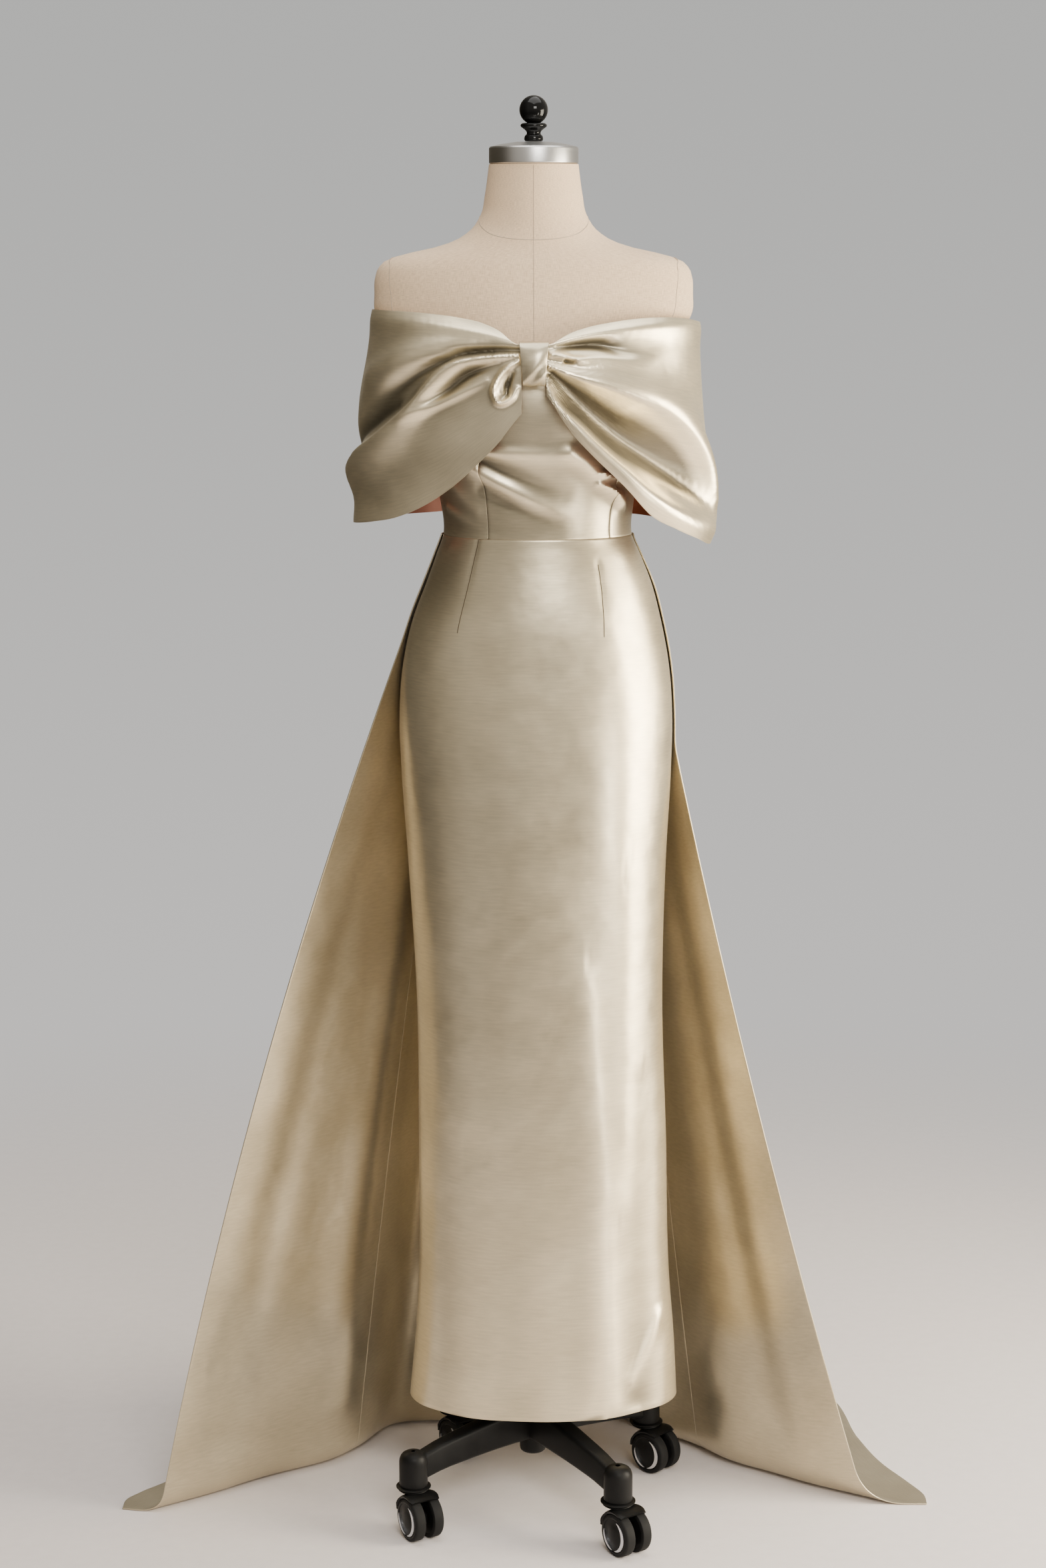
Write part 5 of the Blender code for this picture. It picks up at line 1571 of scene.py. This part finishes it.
@dataclass(frozen=True)
class Casters(Assembly):
    """Four swivelling hoods, each with a pair of wheels on one axle."""

    places: Sequence[tuple[str, float, float]] = (
        # name, turn of the arm, turn of the trail
        ("front_left", 215.0, 300.0),
        ("front_right", 305.0, 305.0),
        ("back_right", 35.0, 316.0),
        ("back_left", 125.0, 305.0),
    )
    reach: float = 0.180
    trail: float = 0.0180
    radius: float = 0.0268
    solid_sides: int = 20
    hood_inner: float = 0.0286
    hood_outer: float = 0.0314
    hood_half: float = 0.0205
    hood_turns: Pair = (62.0, 172.0)
    hood_wall: float = 0.0026
    hood_crown: float = 0.0020
    web_start: float = 0.008
    web_wall: float = 0.0076
    web_bite: float = 0.0008
    boss: Rows = (
        # radius, distance from the middle
        (0.0, -0.004), (0.01, -0.004), (0.01, 0.004), (0.0, 0.004),
    )
    collar: Rows = (
        # radius, z
        (0.0, 0.0552), (0.013, 0.0552), (0.0178, 0.0562), (0.0192, 0.0574), (0.0188, 0.0584), (0.0172, 0.0588),
        (0.0172, 0.0594), (0.0204, 0.0598), (0.0215, 0.0604), (0.0215, 0.0614), (0.0205, 0.0621),
        (0.0054, 0.0621), (0.0054, 0.086), (0.0, 0.086),
    )
    tread: Rows = (
        # radius, distance from the middle
        (0.0212, 0.006), (0.0252, 0.0058), (0.0264, 0.0064), (0.0268, 0.008), (0.0268, 0.016), (0.0265, 0.0176),
        (0.0256, 0.0188), (0.024, 0.0194), (0.0212, 0.0194),
    )
    disc: Rows = (
        # radius, distance from the middle
        (0.004, 0.005), (0.0218, 0.0062), (0.0236, 0.0075), (0.0236, 0.019), (0.023, 0.0197), (0.0215, 0.0198),
        (0.0205, 0.019), (0.011, 0.0196), (0.01, 0.0201), (0.0, 0.0202),
    )
    # painted highlights: silver crescents where light glances off the wheels' faces
    crescents: Rows = (
        # first angle, last angle, inner radius, thickness
        (-84.0, 74.0, 0.0188, 0.0052), (-96.0, -190.0, 0.0188, 0.003),
    )
    crescent_edge: float = 0.0016
    crescent_fade: float = 0.0012
    crescent_wall: float = 0.0012
    crescent_place: float = 0.0199

    @property
    def axle_z(self) -> float:
        """The axle's height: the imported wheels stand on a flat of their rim."""
        return self.radius * math.cos(math.pi / self.solid_sides)

    def hood_turn(self, down: Array) -> Array:
        """Turns about the axle in radians, from the hood's front lip to its foot."""
        first, last = self.hood_turns
        return np.radians(first + (last - first) * down)

    def shell(self, across: Array, down: Array) -> Array:
        """The cover's outside.

        Args:
            across: places from side to side.
            down: places from the front lip to the foot.

        Returns:
            The points.
        """
        side = across * 2 - 1
        out = self.hood_outer - self.hood_crown * np.abs(side) ** 6
        tip = 1 - 0.10 * ease_in((down - 0.8) / 0.2) - 0.08 * ease_in((0.15 - down) / 0.15)
        return about_y(self.hood_turn(down), out, side * self.hood_half * tip)

    def cover(self) -> Mesh:
        """The hood's curved cover, round the axle.

        Returns:
            The mesh.
        """
        cover = self.shop.sheet(self.shell, 16, 28, (0.041, 0.06), flip=True)
        bmesh.ops.recalc_face_normals(cover, faces=cover.faces)
        if sum(face.normal.dot(face.calc_center_median().normalized()) for face in cover.faces) < 0:
            bmesh.ops.reverse_faces(cover, faces=cover.faces)
        bmesh.ops.solidify(cover, geom=cover.faces, thickness=self.hood_wall)
        return cover

    def web_face(self, across: Array, down: Array) -> Array:
        """One face of the web, from the axle out and from the front lip to the foot."""
        out = self.web_start + (self.hood_inner + self.web_bite - self.web_start) * across
        return about_y(self.hood_turn(down), out, self.web_wall / 2)

    def web(self) -> Mesh:
        """The plate between the wheels that joins the cover to the axle.

        Returns:
            The mesh.
        """
        plate = self.shop.sheet(self.web_face, 8, 20, (0.02, 0.04))
        bmesh.ops.solidify(plate, geom=plate.faces, thickness=self.web_wall)
        bmesh.ops.recalc_face_normals(plate, faces=plate.faces)
        return self.shop.place(plate, Vector((0.0, -middle_y(plate), 0.0)))

    def hood(self) -> Mesh:
        """The cover over both wheels, its web, the axle's boss, the collar and the stem.

        Returns:
            The mesh.
        """
        centre = Vector((self.trail, 0.0, self.axle_z))
        parts = [self.cover(), self.web(), self.shop.turned(self.boss, 32, AXLE)]
        for part in parts:
            self.shop.place(part, centre)
        return self.shop.join([*parts, self.shop.turned(self.collar, 48)])

    def pair(self, profile: Rows) -> Mesh:
        """A profile turned on both sides of the middle, about the axle."""
        mirrored = tuple((radius, -place) for radius, place in profile)
        return self.shop.join(self.shop.turned(rows, 56, AXLE) for rows in (profile, mirrored))

    def strip(self, row: Sequence[float], across: Array, down: Array) -> Array:
        """The face of a crescent.

        Args:
            row: the crescent's row of the table.
            across: places from its outer edge to its inner one.
            down: places from one tip to the other.

        Returns:
            The points.
        """
        first, last, inner, thick = row
        swell = np.sin(np.clip(down, 0.0, 1.0) * math.pi) ** 0.8
        out = inner + self.crescent_edge - thick * swell * across
        turn = np.radians(first + (last - first) * down)
        return about_y(turn, out - self.crescent_fade * (1 - swell), 0.0)

    def crescent(self, side: float, row: Sequence[float]) -> Mesh:
        """One silver crescent on a wheel's outer face, shaped and placed as a painted highlight.

        Args:
            side: -1 or 1 for the wheel's side.
            row: the crescent's row of the table.

        Returns:
            The mesh.
        """
        work = self.shop.sheet(partial(self.strip, row), 4, 40, (0.005, 0.05))
        bmesh.ops.remove_doubles(work, verts=work.verts, dist=1e-5)
        bmesh.ops.solidify(work, geom=work.faces, thickness=self.crescent_wall)
        bmesh.ops.recalc_face_normals(work, faces=work.faces)
        return self.shop.place(work, Vector((0.0, side * self.crescent_place - middle_y(work), 0.0)))

    def highlight_crescents(self) -> Mesh:
        """The painted highlight crescents of both wheels."""
        return self.shop.join(self.crescent(side, row) for side in (-1.0, 1.0) for row in self.crescents)

    def build(self) -> None:
        """Makes the four casters."""
        wardrobe = self.shop.wardrobe
        for name, arm, trail in self.places:
            stem = polar(arm, self.reach)
            axle = stem + polar(trail, self.trail) + Vector((0.0, 0.0, self.axle_z))
            swivel, wheels = f"swivel_{name}", f"wheels_{name}"
            hood = self.shop.place(self.hood(), stem, trail)
            self.shop.piece(f"hood_{name}", hood, Slot.MOULDED, swivel, (f"caster_hood_{name}",), 50.0)
            for kind, work, slot, nodes, finish in (
                ("treads", self.pair(self.tread), Slot.RUBBER, (f"caster_wheels_{name}",), None),
                ("discs", self.pair(self.disc), Slot.RUBBER, (), wardrobe.finish[Slot.MOULDED]),
                ("painted_highlights", self.highlight_crescents(), Slot.SILVER, (), wardrobe.highlight_crescents),
            ):
                self.shop.place(work, axle, trail)
                self.shop.piece(f"{kind}_{name}", work, slot, wheels, nodes, finish=finish)


@dataclass(frozen=True)
class BackZip(Assembly):
    """The concealed zip's teeth, slider and hanging tab, at the top of the centre-back seam."""

    teeth: Triple = (1.060, 1.404, 0.0016)  # first z, last z, pitch
    tooth: Triple = (0.0019, 0.0007, 0.0009)
    tooth_shift: float = 0.0004
    tooth_sink: float = 0.0010
    body_taper: float = 0.62
    hole: float = 0.24

    def chain(self) -> None:
        """Sets the teeth in the seam, turn by turn from both tapes."""
        parts = []
        for index, z in enumerate(np.arange(*self.teeth)):
            back = float(smooth_table(GOWN, np.array(z))[3])
            shift = self.tooth_shift if index % 2 else -self.tooth_shift
            parts.append(self.shop.block(self.tooth, (shift, back - self.tooth_sink, z)))
        thread = self.shop.wardrobe.thread
        self.shop.piece("zip_teeth", self.shop.join(parts), Slot.SATIN, sharp=30.0, finish=thread)

    def packed(self, node: str) -> tuple[Vector, Vector]:
        """The centre, from the pole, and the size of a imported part's box."""
        low, high = (Vector(corner) - self.shop.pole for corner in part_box(node))
        return (low + high) / 2, high - low

    def slider(self) -> None:
        """Makes the slider's body with its bridge."""
        centre, size = self.packed("zip_slider")
        body = self.shop.block((size.x, size.y * 0.7, size.z), (0.0, -size.y * 0.15, 0.0))
        for vertex in body.verts:
            if vertex.co.z < 0:
                vertex.co.x *= self.body_taper
        bridge = self.shop.block((size.x * 0.34, size.y * 0.5, size.z * 0.7), (0.0, size.y * 0.25, 0.0))
        for work, width in ((body, 0.0007), (bridge, 0.0005)):
            self.shop.soften(work, work.edges, width, 3)
        whole = self.shop.place(self.shop.join([body, bridge]), centre)
        self.shop.piece("slider_body", whole, Slot.SILVER, replaces=("zip_slider",))

    def tab(self) -> None:
        """Makes the tab: a rounded plate with a hole at its end."""
        centre, size = self.packed("zip_tab")
        work = bmesh.new()
        outer = bmesh.ops.create_circle(work, segments=32, radius=size.x / 2, cap_ends=False)["verts"]
        inner = bmesh.ops.create_circle(work, segments=32, radius=size.x * self.hole, cap_ends=False)["verts"]
        for vertex in outer:
            vertex.co.y += math.copysign((size.z - size.x) / 2, vertex.co.y) if abs(vertex.co.y) > 1e-6 else 0.0
        for vertex in inner:
            vertex.co.y = vertex.co.y * 1.3 - size.z * 0.22
        bmesh.ops.bridge_loops(work, edges=work.edges[:])
        bmesh.ops.recalc_face_normals(work, faces=work.faces)
        bmesh.ops.solidify(work, geom=work.faces[:], thickness=size.y * 0.9)
        bmesh.ops.rotate(work, verts=work.verts, matrix=Matrix.Rotation(math.radians(90.0), 3, "X"))
        bmesh.ops.recalc_face_normals(work, faces=work.faces)
        self.shop.place(work, centre - Vector((0.0, middle_y(work), 0.0)))
        made = self.shop.piece("pull_tab", work, Slot.SILVER, "zip_tab_body", ("zip_tab",))
        edge = made.modifiers.new("edge", "BEVEL")
        edge.width, edge.segments = 0.0002, 2

    def build(self) -> None:
        """Makes all three."""
        self.chain()
        self.slider()
        self.tab()


@dataclass(frozen=True)
class Softbox:
    """A rectangular studio light that points at the figure."""

    name: str
    place: Triple
    size: Pair
    power: float
    colour: Colour
    aim: Triple
    roll: float = 0.0

    def build(self, pole: Vector) -> None:
        """Hangs the light.

        Args:
            pole: where the stand's pole is, from which the light's place is measured.
        """
        data = bpy.data.lights.new(self.name, "AREA")
        data.shape = "RECTANGLE"
        data.size, data.size_y = self.size
        data.energy = self.power
        data.color = self.colour
        made = bpy.data.objects.new(self.name, data)
        made.location = Vector(self.place) + pole
        turn = (Vector(self.aim) - Vector(self.place)).to_track_quat("-Z", "Y").to_matrix()
        made.rotation_euler = (turn @ Matrix.Rotation(math.radians(self.roll), 3, "Z")).to_euler()
        made.visible_camera = False
        bpy.context.collection.objects.link(made)


@dataclass(frozen=True)
class Studio(Assembly):
    """The camera at the photograph's angle, the soft lights, the pale floor and surroundings."""

    eye: Triple = (-0.0125, -3.6, 1.58)
    pitch: float = 10.36
    lens: float = 69.10
    dim_side: Colour = (0.070, 0.058, 0.038)
    middle: Colour = (0.570, 0.525, 0.460)
    bright_side: Colour = (0.640, 0.600, 0.510)
    seen_high: Colour = (0.555, 0.555, 0.540)
    seen_low: Colour = (0.760, 0.735, 0.715)
    floor_reach: Pair = (0.8, 2.6)
    paint: tuple[Colour, Colour] = ((0.790, 0.735, 0.722), (0.820, 0.765, 0.752))
    lights: Sequence[Softbox] = (
        Softbox("key_right", (2.10, -0.50, 0.92), (1.10, 1.65), 118.0, (1.0, 0.905, 0.73), (0.0, 0.0, 0.8), 10.0),
        Softbox("front_soft", (0.7, -3.3, 2.7), (1.3, 1.0), 72.0, (1.0, 0.965, 0.91), (0.0, 0.0, 1.0)),
        Softbox("low_right", (1.35, -1.45, 0.45), (0.35, 0.8), 9.0, (1.0, 0.94, 0.84), (0.05, 0.0, 0.4)),
        Softbox("top_soft", (0.2, -0.2, 3.4), (2.4, 2.0), 52.0, (1.0, 0.985, 0.96), (0.0, 0.0, 0.0)),
    )

    def camera(self) -> None:
        """Sets the camera up in front of the pole."""
        data = bpy.data.cameras.new("photo_camera")
        data.sensor_width = 36.0
        data.sensor_fit = "AUTO"
        data.lens = self.lens
        data.clip_end = 60.0
        made = bpy.data.objects.new("photo_camera", data)
        made.location = Vector(self.eye) + self.shop.pole
        made.rotation_euler = (math.radians(90.0 - self.pitch), 0.0, 0.0)
        bpy.context.collection.objects.link(made)
        bpy.context.scene.camera = made

    def floor(self) -> None:
        """Lays the floor."""
        work = bmesh.new()
        bmesh.ops.create_grid(work, x_segments=2, y_segments=2, size=20.0)
        bmesh.ops.translate(work, verts=work.verts, vec=(0.0, 0.0, -0.0006))
        as_object("studio_floor", work, self.fading_floor())

    def fading_floor(self) -> Material:
        """A pale painted floor that melts into the background away from the pole.

        Returns:
            The material.
        """
        tree = NodeTree(bpy.data.materials.new("studio_floor"))
        where = tree.coordinates()
        away = tree.add("VectorMath", {0: where, 1: self.shop.pole}, operation="DISTANCE").outputs["Value"]
        near, far = self.floor_reach
        grain = tree.noise(where, 60.0, 3.0)
        return tree.principled(
            Base_Color=tree.blend(tree.spread(grain, 0.0, 1.0), *self.paint),
            Roughness=0.65,
            Normal=tree.bump(grain, 0.00002),
            Alpha=tree.remap(away, near, far, 1.0, 0.0, smooth=True),
        )

    def surroundings(self) -> None:
        """Sets the room's light, dim on the left and bright on the right, behind a plain grey background."""
        world = bpy.data.worlds.new("studio")
        bpy.context.scene.world = world
        tree = NodeTree(world)
        way = tree.add("TexCoord").outputs["Generated"]
        x, y, z = tree.add("SeparateXYZ", {"Vector": way}).outputs
        lean = tree.add("VectorMath", {0: way, 1: (1.0, -0.5, 0.0)}, operation="DOT_PRODUCT").outputs["Value"]
        side = tree.blend(tree.remap(lean, -0.99, -0.30, 0.0, 1.0, smooth=True), self.dim_side, self.middle)
        right = tree.remap(x, 0.35, 0.95, 0.0, 1.0, smooth=True)
        front = tree.remap(y, 0.20, 0.90, 1.0, 0.0, smooth=True)
        low = tree.remap(z, -0.15, 0.12, 1.0, 0.2, smooth=True)
        bright = tree.reckon("MULTIPLY", tree.reckon("MULTIPLY", right, front), low)
        side = tree.blend(bright, side, self.bright_side)
        high = tree.remap(z, -0.5, 0.15, 0.3, 1.0, smooth=True)
        light = tree.add("VectorMath", {0: side, "Scale": high}, operation="SCALE").outputs["Vector"]
        seen = tree.blend(tree.remap(z, -0.36, 0.12, 1.0, 0.0, smooth=True), self.seen_high, self.seen_low)
        rays = tree.add("LightPath").outputs["Is Camera Ray"]
        background = world.node_tree.nodes["Background"]
        tree.set(background, "Color", tree.blend(rays, light, seen))
        tree.set(background, "Strength", 1.0)

    def build(self) -> None:
        """Makes the studio."""
        self.camera()
        self.floor()
        self.surroundings()
        for light in self.lights:
            light.build(self.shop.pole)


def main() -> None:
    """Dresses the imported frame, piece by piece."""
    logging.basicConfig(level=logging.INFO, format="%(message)s")
    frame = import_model()
    shop = Workshop(Wardrobe(), frame["nodes"])
    for assembly in (Studio, DressForm, Stand, Casters, Bodice, Skirt, Train, Capelet, Knot, BackZip):
        assembly(shop).build()


if __name__ == "__main__":
    main()
